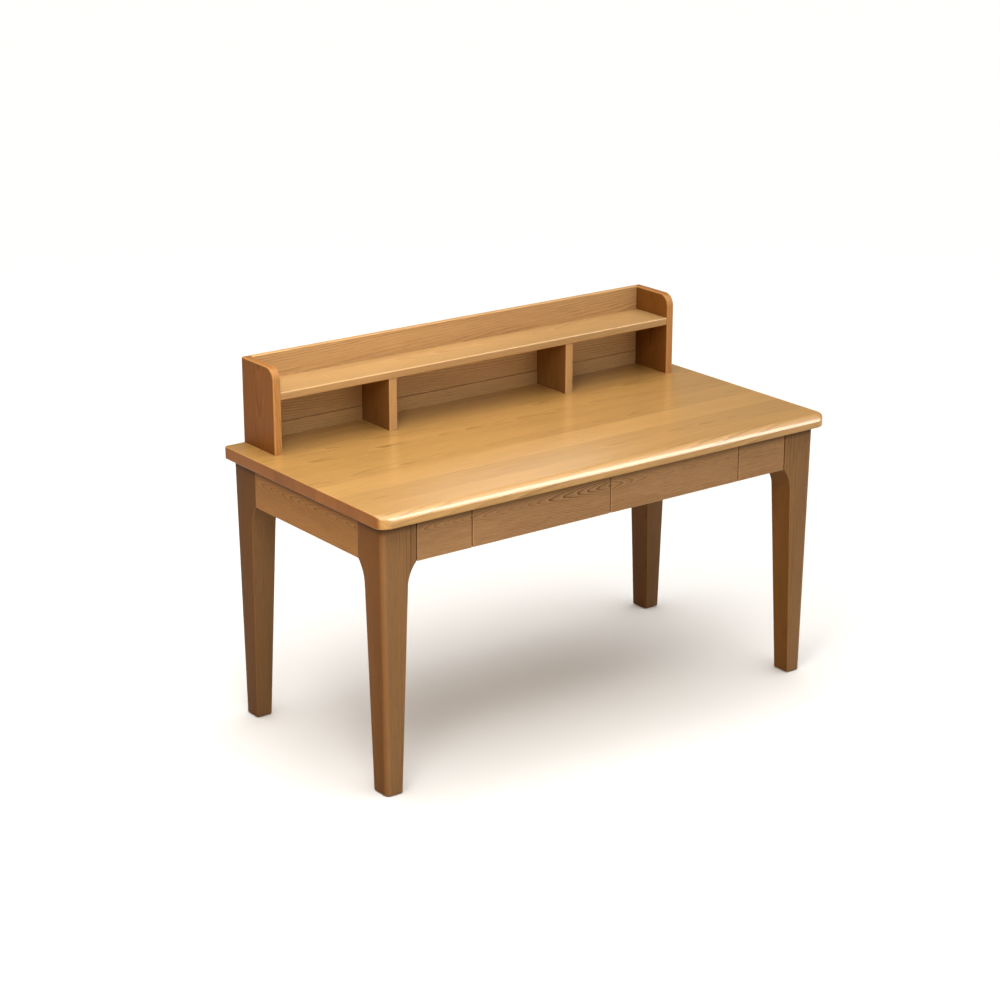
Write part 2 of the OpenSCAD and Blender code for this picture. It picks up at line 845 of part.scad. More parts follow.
// Pins of one dovetail joint, drawn over the joint: x from the shoulder (0) to the end of
// the side (box_t), y up the height of the box
module dovetail_pins_2d() {
    pitch = box_h / tails;
    intersection() {
        square([box_t, box_h]);
        for (i = [0 : tails])
            translate([0, i * pitch])
                polygon([
                    [0, -pin_w / 2 - tail_spread], [box_t, -pin_w / 2],
                    [box_t, pin_w / 2], [0, pin_w / 2 + tail_spread]
                ]);
    }
}

// The pins at both ends of a cross board, as solids through the thickness of the sides
module dovetail_pins(at_back) {
    for (x = [x_box_in, x_box_out - box_t - eps])
        translate([x, at_back ? y_box + box_d - box_t : y_box + box_t, z_box])
            mirror([0, at_back ? 0 : 1, 0])
                along_x(box_t + eps) dovetail_pins_2d();
}

// Space of the drawer bottom, grown by gap
module bottom_panel(gap) {
    into = groove_d - fit_gap + gap;
    block([x_box_in + box_t - into, y_box + box_t - into, z_box + bottom_rise - gap],
        [x_box_out - box_t + into, y_box + box_d - box_t + into, z_box + bottom_rise + bottom_t + gap]);
}

module drawer_cross_board(at_back) {
    y = at_back ? y_box + box_d - box_t : y_box;
    color(box_wood)
        difference() {
            union() {
                block([x_box_in + box_t, y, z_box], [x_box_out - box_t, y + box_t, z_box + box_h]);
                dovetail_pins(at_back);
            }
            bottom_panel(fit_gap);
            if (!at_back) face_screw_axes() translate([0, 0, -reach])
                cylinder(r = screw_r + bore_gap, h = box_t + 2 * reach);
        }
}

module drawer_side_board(inner) {
    x = inner ? x_box_in : x_box_out - box_t;
    color(box_wood)
        difference() {
            block([x, y_box, z_box], [x + box_t, y_box + box_d, z_box + box_h]);
            dovetail_pins(true);
            dovetail_pins(false);
            bottom_panel(fit_gap);
            moving_rail_screw_set(bore_gap);
        }
}

module drawer_bottom() {
    color(box_wood) bottom_panel(0);
}

// Screws from inside the box front into the face
module face_screw_axes() {
    for (x = [-1, 1])
        for (z = [-1, 1])
            translate([x_drawer + x * face_screw_span / 2, y_box + box_t,
                    z_box + bottom_rise + bottom_t + (box_h - bottom_rise - bottom_t) / 2
                        + z * face_screw_rows / 2])
                rotate([90, 0, 0]) children();
}

module drawer_face() {
    color(oak)
        difference() {
            eased_block([face_gap / 2, y_face, z_apron],
                [x_seam - face_gap / 2, y_box, z_under - face_gap]);
            translate([x_drawer - cove_l / 2, y_box, z_apron])
                rotate([0, 90, 0]) cylinder(r = cove_r, h = cove_l);
            for (end = [-1, 1])
                translate([x_drawer + end * cove_l / 2, y_box, z_apron]) sphere(cove_r);
            face_screw_axes() pan_hole(box_t + face_screw_l);
        }
}

module drawer_face_screws() {
    color(steel) face_screw_axes() pan_screw(box_t + face_screw_l);
}

module drawer_rail_screws() {
    color(steel) moving_rail_screw_set(0);
}

// ---------- Hutch ----------

module hutch_side(right) {
    x = right ? x_hutch_in : -x_hutch;
    color(oak_dark)
        difference() {
            translate([x, y_hutch, desk_h]) {
                // upright part, top edge and the corner between them, all with eased edges
                linear_extrude(hutch_h - hutch_corner_r)
                    rotate(90) mirror([0, 1]) edge_2d(hutch_d, hutch_t, hutch_edge_r, hutch_edge_r);
                translate([0, hutch_corner_r, hutch_h]) mirror([0, 0, 1])
                    along_y(hutch_d - hutch_corner_r)
                        rotate(90) mirror([0, 1])
                            edge_2d(hutch_corner_r + reach, hutch_t, hutch_edge_r, hutch_edge_r);
                translate([0, hutch_corner_r, hutch_h - hutch_corner_r])
                    rotate([0, 90, 0]) rotate([0, 0, 180])
                        rotate_extrude(angle = 90)
                            translate([hutch_corner_r, 0]) mirror([1, 0])
                                edge_2d(hutch_corner_r, hutch_t, hutch_edge_r, hutch_edge_r);
            }
            shelf_tongue(fit_gap);
            dowel_holes();
        }
}

// Housed ends of the shelf, grown by gap
module shelf_tongue(gap) {
    block([-x_hutch_in - housing_d + fit_gap - gap, y_shelf + housing_stop - gap, z_shelf - gap],
        [x_hutch_in + housing_d - fit_gap + gap, y_back + (gap > 0 ? eps : 0), z_shelf + shelf_t + gap]);
}

module hutch_shelf() {
    color(honey)
        difference() {
            union() {
                translate([-x_hutch_in, y_shelf, z_shelf])
                    along_x(2 * x_hutch_in) edge_2d(y_back - y_shelf, shelf_t, shelf_edge_r, shelf_edge_r);
                shelf_tongue(0);
            }
            divider_tongue(true, fit_gap);
            divider_tongue(false, fit_gap);
        }
}

// Housed upper edge of a divider, grown by gap
module divider_tongue(right, gap) {
    x = right ? divider_x : -divider_x;
    block([x - divider_t / 2 - gap, y_divider + housing_stop - gap, z_shelf - eps],
        [x + divider_t / 2 + gap, y_back - housing_stop + gap, z_shelf + housing_d - fit_gap + gap]);
}

module hutch_divider(right) {
    x = right ? divider_x : -divider_x;
    color(honey)
        difference() {
            union() {
                translate([x - divider_t / 2, y_divider, desk_h])
                    linear_extrude(z_shelf - desk_h)
                        rotate(90) mirror([0, 1])
                            edge_2d(y_back - y_divider, divider_t, shelf_edge_r, shelf_edge_r);
                divider_tongue(right, 0);
            }
            dowel_holes();
        }
}

module hutch_back_panel() {
    color(oak)
        difference() {
            block([-x_hutch_in, y_back, z_panel], [x_hutch_in, y_back + back_t, desk_h + hutch_h]);
            block([-x_hutch, tongue_y - fit_gap, desk_h],
                [x_hutch, tongue_y + tongue + fit_gap, z_panel + tongue + fit_gap]);
        }
}

module hutch_back_rail() {
    color(oak) {
        block([-x_hutch_in, y_back, desk_h], [x_hutch_in, y_back + back_t, desk_h + back_rail_h]);
        block([-x_hutch_in, tongue_y, desk_h + back_rail_h - eps],
            [x_hutch_in, tongue_y + tongue, z_panel + tongue]);
    }
}

// Dowels stand half in the desktop and half in the board above
module dowel_places() {
    for (side = [-1, 1]) {
        for (y = [y_hutch + dowel_inset, desk_d / 2 - dowel_inset])
            translate([side * (x_hutch - hutch_t / 2), y, desk_h]) children();
        for (y = [y_divider + dowel_inset, y_back - dowel_inset])
            translate([side * divider_x, y, desk_h]) children();
    }
}

module hutch_dowels() {
    color(box_wood) dowel_places() translate([0, 0, -dowel_l / 2]) cylinder(r = dowel_r, h = dowel_l);
}

module dowel_holes() {
    dowel_places() translate([0, 0, -dowel_l / 2 - seat_depth])
        cylinder(r = dowel_r + bore_gap, h = dowel_l + 2 * seat_depth);
}

desktop();
leg_at(false, false);  // leg_front_left
leg_at(true, false);  // leg_front_right
leg_at(false, true);  // leg_rear_left
leg_at(true, true);  // leg_rear_right
side_apron(false);  // side_apron_left
side_apron(true);  // side_apron_right
rear_apron();
front_panel(false);  // front_panel_left
front_panel(true);  // front_panel_right
front_rail();
drawer_carrier(-x_seam);  // drawer_carrier_left
drawer_carrier(0);  // drawer_carrier_center
drawer_carrier(x_seam);  // drawer_carrier_right
corner_blocks();
hanger_bolts();
flange_nuts();
desktop_brackets();
bracket_screws();
foot_pads();
fixed_rail_screws();
drawer_side(true) drawer_face();  // left_drawer_face
drawer_side(true) drawer_cross_board(false);  // left_drawer_box_front
drawer_side(true) drawer_cross_board(true);  // left_drawer_back
drawer_side(true) drawer_side_board(false);  // left_drawer_side_outer
drawer_side(true) drawer_side_board(true);  // left_drawer_side_inner
drawer_side(true) drawer_bottom();  // left_drawer_bottom
drawer_side(true) drawer_face_screws();  // left_drawer_face_screws
drawer_side(true) drawer_rail_screws();  // left_drawer_rail_screws
drawer_side(true) fixed_rail(false);  // left_fixed_rail_outer
drawer_side(true) fixed_rail(true);  // left_fixed_rail_inner
drawer_side(true) middle_rails();  // left_middle_rails
drawer_side(true) moving_rail(false);  // left_moving_rail_outer
drawer_side(true) moving_rail(true);  // left_moving_rail_inner
drawer_side(true) fixed_ball_cages();  // left_fixed_ball_cages
drawer_side(true) moving_ball_cages();  // left_moving_ball_cages
drawer_side(false) drawer_face();  // right_drawer_face
drawer_side(false) drawer_cross_board(false);  // right_drawer_box_front
drawer_side(false) drawer_cross_board(true);  // right_drawer_back
drawer_side(false) drawer_side_board(false);  // right_drawer_side_outer
drawer_side(false) drawer_side_board(true);  // right_drawer_side_inner
drawer_side(false) drawer_bottom();  // right_drawer_bottom
drawer_side(false) drawer_face_screws();  // right_drawer_face_screws
drawer_side(false) drawer_rail_screws();  // right_drawer_rail_screws
drawer_side(false) fixed_rail(false);  // right_fixed_rail_outer
drawer_side(false) fixed_rail(true);  // right_fixed_rail_inner
drawer_side(false) middle_rails();  // right_middle_rails
drawer_side(false) moving_rail(false);  // right_moving_rail_outer
drawer_side(false) moving_rail(true);  // right_moving_rail_inner
drawer_side(false) fixed_ball_cages();  // right_fixed_ball_cages
drawer_side(false) moving_ball_cages();  // right_moving_ball_cages
hutch_side(false);  // hutch_side_left
hutch_side(true);  // hutch_side_right
hutch_shelf();
hutch_divider(false);  // hutch_divider_left
hutch_divider(true);  // hutch_divider_right
hutch_back_panel();
hutch_back_rail();
hutch_dowels();
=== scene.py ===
"""Looks of a solid wood writing desk with a low hutch, laid out as a Blender add-on."""

import math

import bpy
import numpy as np
from bpy.props import FloatProperty, FloatVectorProperty, PointerProperty
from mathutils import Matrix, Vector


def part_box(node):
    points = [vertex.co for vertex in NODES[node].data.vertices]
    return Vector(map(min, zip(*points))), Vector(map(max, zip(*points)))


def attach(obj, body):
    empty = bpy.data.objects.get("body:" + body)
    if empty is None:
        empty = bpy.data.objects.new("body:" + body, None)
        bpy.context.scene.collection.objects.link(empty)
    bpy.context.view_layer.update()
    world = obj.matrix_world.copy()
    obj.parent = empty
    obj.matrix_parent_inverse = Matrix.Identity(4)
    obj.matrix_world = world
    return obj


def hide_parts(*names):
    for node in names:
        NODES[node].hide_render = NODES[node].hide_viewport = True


bl_info = {
    "name": "Writing Desk with Hutch",
    "version": (1, 0, 0),
    "blender": (4, 5, 0),
    "location": "3D View > Sidebar > Desk",
    "description": "Shapes and finishes of a solid wood writing desk with a low hutch",
    "category": "Object",
}

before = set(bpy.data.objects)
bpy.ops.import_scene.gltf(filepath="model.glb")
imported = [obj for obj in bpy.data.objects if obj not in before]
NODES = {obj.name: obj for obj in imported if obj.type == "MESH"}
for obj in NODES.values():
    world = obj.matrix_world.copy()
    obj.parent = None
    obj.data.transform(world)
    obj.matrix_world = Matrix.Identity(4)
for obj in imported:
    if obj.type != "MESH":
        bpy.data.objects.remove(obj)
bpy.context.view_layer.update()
MM = 0.001
ROOT = "desk"
CORNER_STEPS = 12  # edges round each corner of a board's outline
LEG_STEPS = 8  # the same for a leg
SHARP = math.radians(38)  # edges that turn by more are drawn sharp
FLOOR = 40.0  # half the floor's width
BOARD_WIDTH = 92.5 * MM  # of the boards that the desktop is glued up from
PANEL_GAP = 2.5 * MM  # between a front panel and its leg
FRONT_PITH, APRON_PITH = 11 * MM, 12 * MM  # how deep the middle of their growth rings lies
SHALLOWEST = 0.3 * MM  # radius of the finger cove where it runs out
SEAM_EASING = 1.0 * MM  # where the two parts of the hutch back meet
SEAM_GAP = 1.5 * MM  # between them
SHADE_BAND = (8 * MM, 28 * MM)  # how far under the desktop its painted shade starts to fade, and ends
END_TINT = (0.47, 0.31, 0.145)  # of end grain
REAR_LEG_SHADE = 0.74  # the rear legs are painted darker by this, as shade


# ---------- Settings ----------


def length(name, description, default, low=0.0, high=1.0):
    """A length in metres that the user can change."""
    return FloatProperty(
        name=name, description=description, default=default, min=low, max=high,
        unit="LENGTH", subtype="DISTANCE", precision=4,
    )


def colour(name, description, default):
    """A linear colour that the user can change."""
    return FloatVectorProperty(
        name=name, description=description, default=default, size=3, min=0.0, max=1.0, subtype="COLOR"
    )


def angle(name, description, default):
    """An angle that the user can change."""
    return FloatProperty(
        name=name, description=description, default=default, subtype="ANGLE", unit="ROTATION"
    )


def brightness(name, description, default):
    """A brightness that the user can change."""
    return FloatProperty(name=name, description=description, default=default, min=0.0)


def power(name, description, default):
    """The power of a light that the user can change."""
    return FloatProperty(name=name, description=description, default=default, min=0.0, unit="POWER")


class DeskSizes(bpy.types.PropertyGroup):
    """Roundings and small sizes of the boards."""

    nose: length("Nose", "How far the desktop's front edge rolls down", 18 * MM, 0.001, 0.02)
    nose_run: length("Nose run", "How far back that roll starts", 28 * MM, 0.001, 0.04)
    under_nose: length("Under nose", "Lower radius of the desktop's front edge", 6 * MM, 0.001, 0.007)
    front_corner: length("Front corner", "Plan radius of its front corners", 32 * MM, 0.02, 0.05)
    rear_corner: length("Rear corner", "Plan radius of its rear corners", 10 * MM, 0.004, 0.02)
    side_easing: length("Side easing", "Eased edge along its sides and back", 3 * MM, 0.001, 0.006)
    leg_corner: length("Leg corner", "Radius of a leg's outer corner", 14 * MM, 0.004, 0.022)
    leg_arris: length("Leg arris", "Eased edges of the legs", 2.5 * MM, 0.0005, 0.005)
    foot_easing: length("Foot easing", "Eased edge round the bottom of a foot", 2.4 * MM, 0.0005, 0.006)
    leg_lean_x: length("Front lean", "Lean of a leg's outer side, across the front", 8 * MM, 0.0, 0.014)
    leg_lean_y: length("Side lean", "Lean of a leg's outer side, along the side", 6 * MM, 0.0, 0.014)
    foot_w: length("Foot width", "Width of a foot across the front", 46 * MM, 0.03, 0.06)
    foot_d: length("Foot depth", "Depth of a foot along the side", 56 * MM, 0.03, 0.07)
    bracket_run: length("Bracket run", "Width that it takes off a leg's head", 24 * MM, 0.01, 0.03)
    bracket_drop: length("Bracket drop", "Height of the bracket curve", 62 * MM, 0.03, 0.09)
    leg_flat: length("Leg flat", "Chamfer on a leg's inner corner, at the head", 24 * MM, 0.01, 0.03)
    face_easing: length("Face easing", "Eased edges of the faces and panels", 2 * MM, 0.0005, 0.003)
    apron_easing: length("Apron easing", "Eased lower edge of the aprons", 2 * MM, 0.0005, 0.003)
    joint_easing: length("Joint easing", "Broken edge where two boards meet", 0.6 * MM, 0.0002, 0.001)
    cove: length("Finger cove", "Radius of the cove behind a drawer face", 13 * MM, 0.008, 0.014)
    cove_length: length("Cove length", "Length of the finger cove", 260 * MM, 0.1, 0.3)
    hutch_corner: length("Hutch corner", "Radius of its sides' front corner", 32 * MM, 0.01, 0.045)
    hutch_easing: length("Hutch easing", "Eased edges of the hutch sides", 4 * MM, 0.001, 0.006)
    shelf_easing: length("Shelf easing", "Eased edges of shelf and dividers", 3 * MM, 0.001, 0.005)
    back_easing: length("Back easing", "Eased upper edge of the hutch back", 2 * MM, 0.0005, 0.004)


class DeskColours(bpy.types.PropertyGroup):
    """Colours of the woods, the metal and the felt."""

    top_light: colour("Desktop", "Light wood of the desktop", (0.53, 0.29, 0.084))
    top_dark: colour("Desktop grain", "Dark grain of the desktop", (0.28, 0.142, 0.036))
    front_light: colour("Fronts", "Light wood of the faces and panels", (0.38, 0.208, 0.09))
    front_dark: colour("Fronts grain", "Dark grain of the faces and panels", (0.14, 0.068, 0.026))
    apron_light: colour("Aprons", "Light wood of the aprons", (0.32, 0.158, 0.048))
    apron_dark: colour("Aprons grain", "Dark grain of the aprons", (0.13, 0.056, 0.015))
    leg_light: colour("Legs", "Light wood of the legs", (0.25, 0.13, 0.053))
    leg_dark: colour("Legs grain", "Dark grain of the legs", (0.115, 0.053, 0.018))
    hutch_light: colour("Hutch sides", "Light wood of the hutch sides", (0.46, 0.22, 0.07))
    hutch_dark: colour("Hutch sides grain", "Dark grain of the hutch sides", (0.27, 0.12, 0.033))
    back_light: colour("Hutch back", "Light wood of the hutch back and dividers", (0.56, 0.325, 0.14))
    back_dark: colour("Hutch back grain", "Dark grain of the back and dividers", (0.30, 0.163, 0.062))
    # Painted shade: this tint darkens the legs' faces that look along X, for the shade on those sides.
    painted_side_shade: colour("Side tint", "Tint of the legs' quarter-sawn side faces", (0.67, 0.54, 0.27))
    # Painted shade: this tint darkens the broad faces of the hutch sides and of the dividers.
    painted_hutch_shade: colour("Hutch tint", "Tint of the hutch sides' broad faces", (0.43, 0.34, 0.21))
    shelf_light: colour("Shelf", "Light wood of the hutch shelf", (0.48, 0.285, 0.115))
    shelf_dark: colour("Shelf grain", "Dark grain of the hutch shelf", (0.27, 0.15, 0.055))
    inner_light: colour("Inner wood", "Light wood of the carriers and blocks", (0.62, 0.42, 0.22))
    inner_dark: colour("Inner wood grain", "Dark grain of the carriers and blocks", (0.42, 0.25, 0.11))
    box_light: colour("Drawer boxes", "Light wood of the drawer boxes", (0.60, 0.43, 0.25))
    box_dark: colour("Drawer box grain", "Dark grain of the drawer boxes", (0.38, 0.25, 0.13))
    zinc: colour("Zinc", "Zinc-plated steel", (0.58, 0.60, 0.62))
    felt: colour("Felt", "Pressed felt under the feet", (0.055, 0.035, 0.022))


class StageSettings(bpy.types.PropertyGroup):
    """Camera, lights and floor."""

    camera_place: FloatVectorProperty(
        name="Camera", description="Where the camera stands", size=3, subtype="TRANSLATION",
        unit="LENGTH", default=(-3.6239, -4.7206, 2.5299),
    )
    camera_turn: angle("Camera turn", "Turn of the camera about the vertical", -0.641)
    camera_tilt: angle("Camera tilt", "Tilt of the camera below the horizontal", -0.324)
    camera_lens: FloatProperty(
        name="Lens", description="Focal length on a 36 mm sensor", default=87.93, min=10.0, max=300.0,
        subtype="DISTANCE_CAMERA",
    )
    floor: colour("Floor", "Pale floor", (0.87, 0.87, 0.868))
    sky: colour("Surroundings", "Plain surroundings", (1.0, 0.985, 0.965))
    sky_low: brightness("Low surroundings", "Brightness above the band along the horizon", 0.03)
    sky_high: brightness("High surroundings", "Brightness overhead and along the horizon", 1.0)
    sky_from: angle("Glow start", "Height at which they start to brighten", math.radians(20))
    sky_to: angle("Glow end", "Height above which they are at their brightest", math.radians(62))
    horizon: angle("Horizon band", "Height of the band along the horizon", math.radians(9))
    overhead_strength: brightness("Overhead light", "Strength of the wide light overhead", 1.85)
    key_power: power("Key light", "Power of the soft light above the left front", 21.0)
    top_power: power("Top light", "Power of the soft light straight above the desktop's left", 8.0)
    fill_power: power("Fill light", "Power of the low soft light from the front", 18.0)
    warm_power: power("Warm light", "Power of the low warm light from the left", 30.0)
    sheen_power: power("Sheen light", "Power of the soft light that the desktop mirrors", 6.5)
    gleam_power: power("Gleam light", "Power of the soft light that draws the front edge", 360.0)


# ---------- Surfaces ----------


def unit(vectors):
    """Each vector divided by its own length."""
    return vectors / np.linalg.norm(vectors, axis=-1, keepdims=True)


def rounded_outline(corners, radii, inset, steps=CORNER_STEPS):
    """Outline of a convex board, anticlockwise. inset moves each side inwards, counted from the
    first corner: with n and m the normals of the sides that meet in a corner, g = n . m, and i and
    k their insets, the corner moves by -(i - g k) / (1 - g g) n - (k - g i) / (1 - g g) m. Each
    corner is then an arc: its centre is the corner moved inwards along the bisector by
    radius / cos(half the turn), and its points are the centre plus radius times a normal that
    turns evenly from one side's normal to the next one's."""
    corner, radius = np.asarray(corners, float), np.asarray(radii, float)
    leaving = np.broadcast_to(np.asarray(inset, float), radius.shape)
    arriving = np.roll(leaving, 1)
    after = unit(np.roll(corner, -1, 0) - corner)
    normal_after = np.stack([after[:, 1], -after[:, 0]], 1)
    normal_before = np.roll(normal_after, 1, 0)
    shared = (normal_before * normal_after).sum(1)
    whole = 1 - shared**2
    corner = (
        corner - ((arriving - shared * leaving) / whole)[:, None] * normal_before
        - ((leaving - shared * arriving) / whole)[:, None] * normal_after
    )
    radius = np.maximum(radius - (arriving + leaving) / 2, 0.2 * MM)
    cross = normal_before[:, 0] * normal_after[:, 1] - normal_before[:, 1] * normal_after[:, 0]
    turn = np.arctan2(cross, shared)
    start = np.arctan2(normal_before[:, 1], normal_before[:, 0])
    centre = corner - unit(normal_before + normal_after) * (radius / np.cos(turn / 2))[:, None]
    towards = start[:, None] + turn[:, None] * np.linspace(0, 1, steps + 1)
    normals = np.stack([np.cos(towards), np.sin(towards)], -1)
    arc = centre[:, None] + normals * radius[:, None, None]
    return arc.reshape(-1, 2)


def along_outline(sides, steps=CORNER_STEPS):
    """A value of each side, spread over the points of an outline: round a corner it goes over from
    the side before to the side after along 3 t^2 - 2 t^3."""
    leaving = np.asarray(sides, float)[:, None]
    t = np.linspace(0, 1, steps + 1)
    share = 3 * t**2 - 2 * t**3
    return (np.roll(leaving, 1, 0) * (1 - share) + leaving * share).ravel()


def skin(name, rings, worn, hold=1.5 * MM):
    """Closed shell over rings of points: neighbouring points of neighbouring rings make the sides,
    and the first and last ring are closed by a flat face. A ring just inside each flat face keeps
    its shading flat. The mask of the eased edges is kept on the points, where the finish paints a
    highlight along them."""

    def inside(ring):
        middle = ring.mean(0)
        return middle + (ring - middle) * (1 - hold / np.linalg.norm(ring - middle, axis=1).max())

    rings = np.concatenate([[inside(rings[0])], rings, [inside(rings[-1])]])
    worn = np.concatenate([0 * worn[:1], worn, 0 * worn[:1]])
    count, around = rings.shape[:2]
    index = np.arange(count * around).reshape(count, around)
    here, there = index[:-1], index[1:]
    sides = np.stack(
        [here, np.roll(here, -1, 1), np.roll(there, -1, 1), there], -1
    ).reshape(-1, 4)
    mesh = bpy.data.meshes.new(name)
    faces = sides.tolist() + [index[0, ::-1].tolist(), index[-1].tolist()]
    mesh.from_pydata(rings.reshape(-1, 3).tolist(), [], faces)
    mesh.polygons.foreach_set("use_smooth", np.ones(len(faces), bool))
    layer = mesh.attributes.new("worn", "FLOAT", "POINT")
    layer.data.foreach_set("value", np.ascontiguousarray(worn, np.float32).ravel())
    mesh.update()
    mesh.set_sharp_from_angle(angle=SHARP)
    piece = bpy.data.objects.new(name, mesh)
    bpy.context.scene.collection.objects.link(piece)
    return piece


PLANES = {
    "top": lambda u, v, w: (u, v, w),  # a board that lies: outline seen from above
    "front": lambda u, v, w: (u, -w, v),  # a board that faces -Y: outline seen from the front
    "left": lambda u, v, w: (-w, -u, v),  # a board that faces -X
    "right": lambda u, v, w: (w, u, v),  # a board that faces +X
}
AXES = {"top": (0, 1, 2), "front": (0, 2, 1), "left": (1, 2, 0), "right": (1, 2, 0)}


def board(name, plane, low, high, radii, below, above, run=None, steps=7):
    """Board between two corners of the row frame, seen along its thickness. Its four corners
    (lower left, lower right, upper right, upper left) have radii. below and above are the easings
    of its two faces, one for each side after those corners. With a from 0 to a quarter turn, an
    easing of radius r is inset by r (1 - sin a) and stands r (1 - cos a) from its face. Where run
    is given, the easing above is a quarter ellipse, which is inset by run (1 - sin a)."""
    place, axis = PLANES[plane], AXES[plane]
    low, high = np.asarray(low, float), np.asarray(high, float)
    flip_u = -1 if plane == "left" else 1
    flip_w = -1 if plane in ("front", "left") else 1
    u = sorted((flip_u * low[axis[0]], flip_u * high[axis[0]]))
    v = (low[axis[1]], high[axis[1]])
    w = sorted((flip_w * low[axis[2]], flip_w * high[axis[2]]))
    corners = [(u[0], v[0]), (u[1], v[0]), (u[1], v[1]), (u[0], v[1])]
    below, above = np.asarray(below, float), np.asarray(above, float)
    rings, worn = [], []
    quarter = np.linspace(0, math.pi / 2, steps)
    for face, turns in ((0, quarter), (1, quarter[::-1])):
        easing = above if face else below
        inset = easing if run is None or not face else np.asarray(run, float)
        for a in turns:
            flat = rounded_outline(corners, radii, inset * (1 - math.sin(a)))
            rise = along_outline(easing * (1 - math.cos(a)))
            depth = w[1] - rise if face else w[0] + rise
            rings.append(np.stack(place(flat[:, 0], flat[:, 1], depth), -1))
            worn.append(np.full(len(flat), math.sin(2 * a)))
    return skin(name, np.array(rings), np.array(worn))


def arrays(box):
    """The two corners of a box as arrays, so that they can be reckoned with and changed."""
    return [np.asarray(corner, float) for corner in box]


def finish_piece(piece, body, slot, material, *replaced):
    """The piece moves with its body, takes its finish and stands for its CAD nodes."""
    piece.data.materials.append(material)
    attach(piece, body)
    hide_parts(*replaced)
    return piece


def dress(names, material):
    """Gives a finish to CAD nodes that keep their own shape."""
    for name in names:
        for slot in NODES[name].material_slots:
            slot.material = material


# ---------- Finishes ----------


class Wire:
    """A socket of a finish, with arithmetic: an expression on wires adds its Math nodes."""

    def __init__(self, finish, socket):
        self.finish, self.socket = finish, socket

    def math(self, operation, *values):
        """Adds a Math node that works on the values."""
        return self.finish.node("ShaderNodeMath", {"operation": operation}, dict(enumerate(values)))

    def __add__(self, other):
        return self.math("ADD", self, other)

    def __radd__(self, other):
        return self.math("ADD", other, self)

    def __sub__(self, other):
        return self.math("SUBTRACT", self, other)

    def __rsub__(self, other):
        return self.math("SUBTRACT", other, self)

    def __mul__(self, other):
        return self.math("MULTIPLY", self, other)

    def __rmul__(self, other):
        return self.math("MULTIPLY", other, self)

    def __truediv__(self, other):
        return self.math("DIVIDE", self, other)

    def __rtruediv__(self, other):
        return self.math("DIVIDE", other, self)

    def floor(self):
        return self.math("FLOOR", self)

    def fract(self):
        return self.math("FRACT", self)

    def sqrt(self):
        return self.math("SQRT", self)

    def absolute(self):
        return self.math("ABSOLUTE", self)

    def step(self, start, end):
        """0 before start, 1 after end, and smooth between them."""
        return self.finish.node(
            "ShaderNodeMapRange",
            {"interpolation_type": "SMOOTHSTEP"},
            {"Value": self, "From Min": start, "From Max": end, "To Min": 0.0, "To Max": 1.0},
        )


class Finish:
    """A material or the surroundings, made of nodes."""

    def __init__(self, owner):
        self.owner = owner
        owner.use_nodes = True
        self.tree = owner.node_tree
        self.tree.nodes.clear()

    def node(self, kind, settings=None, sockets=None, out=0):
        """Adds a node: its settings are set first, then the values or links of its sockets."""
        node = self.tree.nodes.new(kind)
        for key, value in (settings or {}).items():
            setattr(node, key, value)
        for key, value in (sockets or {}).items():
            if isinstance(value, Wire):
                self.tree.links.new(value.socket, node.inputs[key])
            else:
                node.inputs[key].default_value = value
        return Wire(self, node.outputs[out]) if node.outputs else None

    def coordinates(self, order="xyz"):
        """Object coordinates with their axes in another order."""
        place = self.node("ShaderNodeTexCoord", out="Object")
        if order == "xyz":
            return place
        parts = {axis: self.part(place, axis) for axis in order}
        return self.vector(*(parts[axis] for axis in order))

    def part(self, vector, axis):
        """The x, y or z of a vector."""
        return self.node("ShaderNodeSeparateXYZ", None, {0: vector}, "xyz".index(axis))

    def vector(self, x, y, z):
        """A vector of three numbers or wires."""
        return self.node("ShaderNodeCombineXYZ", None, {0: x, 1: y, 2: z})

    def scaled(self, vector, by):
        """A vector times another one, part by part."""
        return self.node("ShaderNodeVectorMath", {"operation": "MULTIPLY"}, {0: vector, 1: by})

    def moved(self, vector, by):
        """A vector plus another one."""
        return self.node("ShaderNodeVectorMath", {"operation": "ADD"}, {0: vector, 1: by})

    def noise(self, vector, scale=1.0, detail=2.0, roughness=0.5, out=0, distortion=0.0):
        """Smooth noise between 0 and 1; out 1 gives three values at once."""
        return self.node(
            "ShaderNodeTexNoise",
            {"noise_dimensions": "3D"},
            {"Vector": vector, "Scale": scale, "Detail": detail, "Roughness": roughness,
             "Distortion": distortion},
            out,
        )

    def streaks(self, grain, along, across, detail=1.0, roughness=0.5, out=0):
        """Noise drawn out along the grain, with its number of waves per metre along and across."""
        place = self.scaled(grain, (along, across, across))
        return self.noise(place, detail=detail, roughness=roughness, out=out)

    def random(self, number):
        """Three random numbers that depend on a number alone."""
        noise = self.node("ShaderNodeTexWhiteNoise", {"noise_dimensions": "1D"}, {"W": number}, 1)
        return [self.part(noise, axis) for axis in "xyz"]

    def mix(self, factor, first, second, blend="MIX"):
        """Two colours mixed; a factor of 1 gives the second, or its blend with the first."""
        return self.node(
            "ShaderNodeMix",
            {"data_type": "RGBA", "blend_type": blend, "clamp_factor": True},
            {0: factor, 6: first, 7: second},
            2,
        )

    def bump(self, height, distance, strength=1.0, normal=None):
        """A relief of that height, on top of another one where normal is given."""
        sockets = {"Height": height, "Distance": distance, "Strength": strength}
        if normal is not None:
            sockets["Normal"] = normal
        return self.node("ShaderNodeBump", None, sockets)

    def surface(self, **sockets):
        """The Principled shader, which ends the material."""
        named = {key.replace("_", " "): value for key, value in sockets.items()}
        shader = self.node("ShaderNodeBsdfPrincipled", None, named)
        self.node("ShaderNodeOutputMaterial", None, {"Surface": shader})
        return self.owner


def rgba(colour_value, by=1.0, plus=0.0):
    """A colour with its alpha, after each part is multiplied, raised and kept under 1."""
    return (*(min(1.0, part * by + plus) for part in colour_value), 1.0)


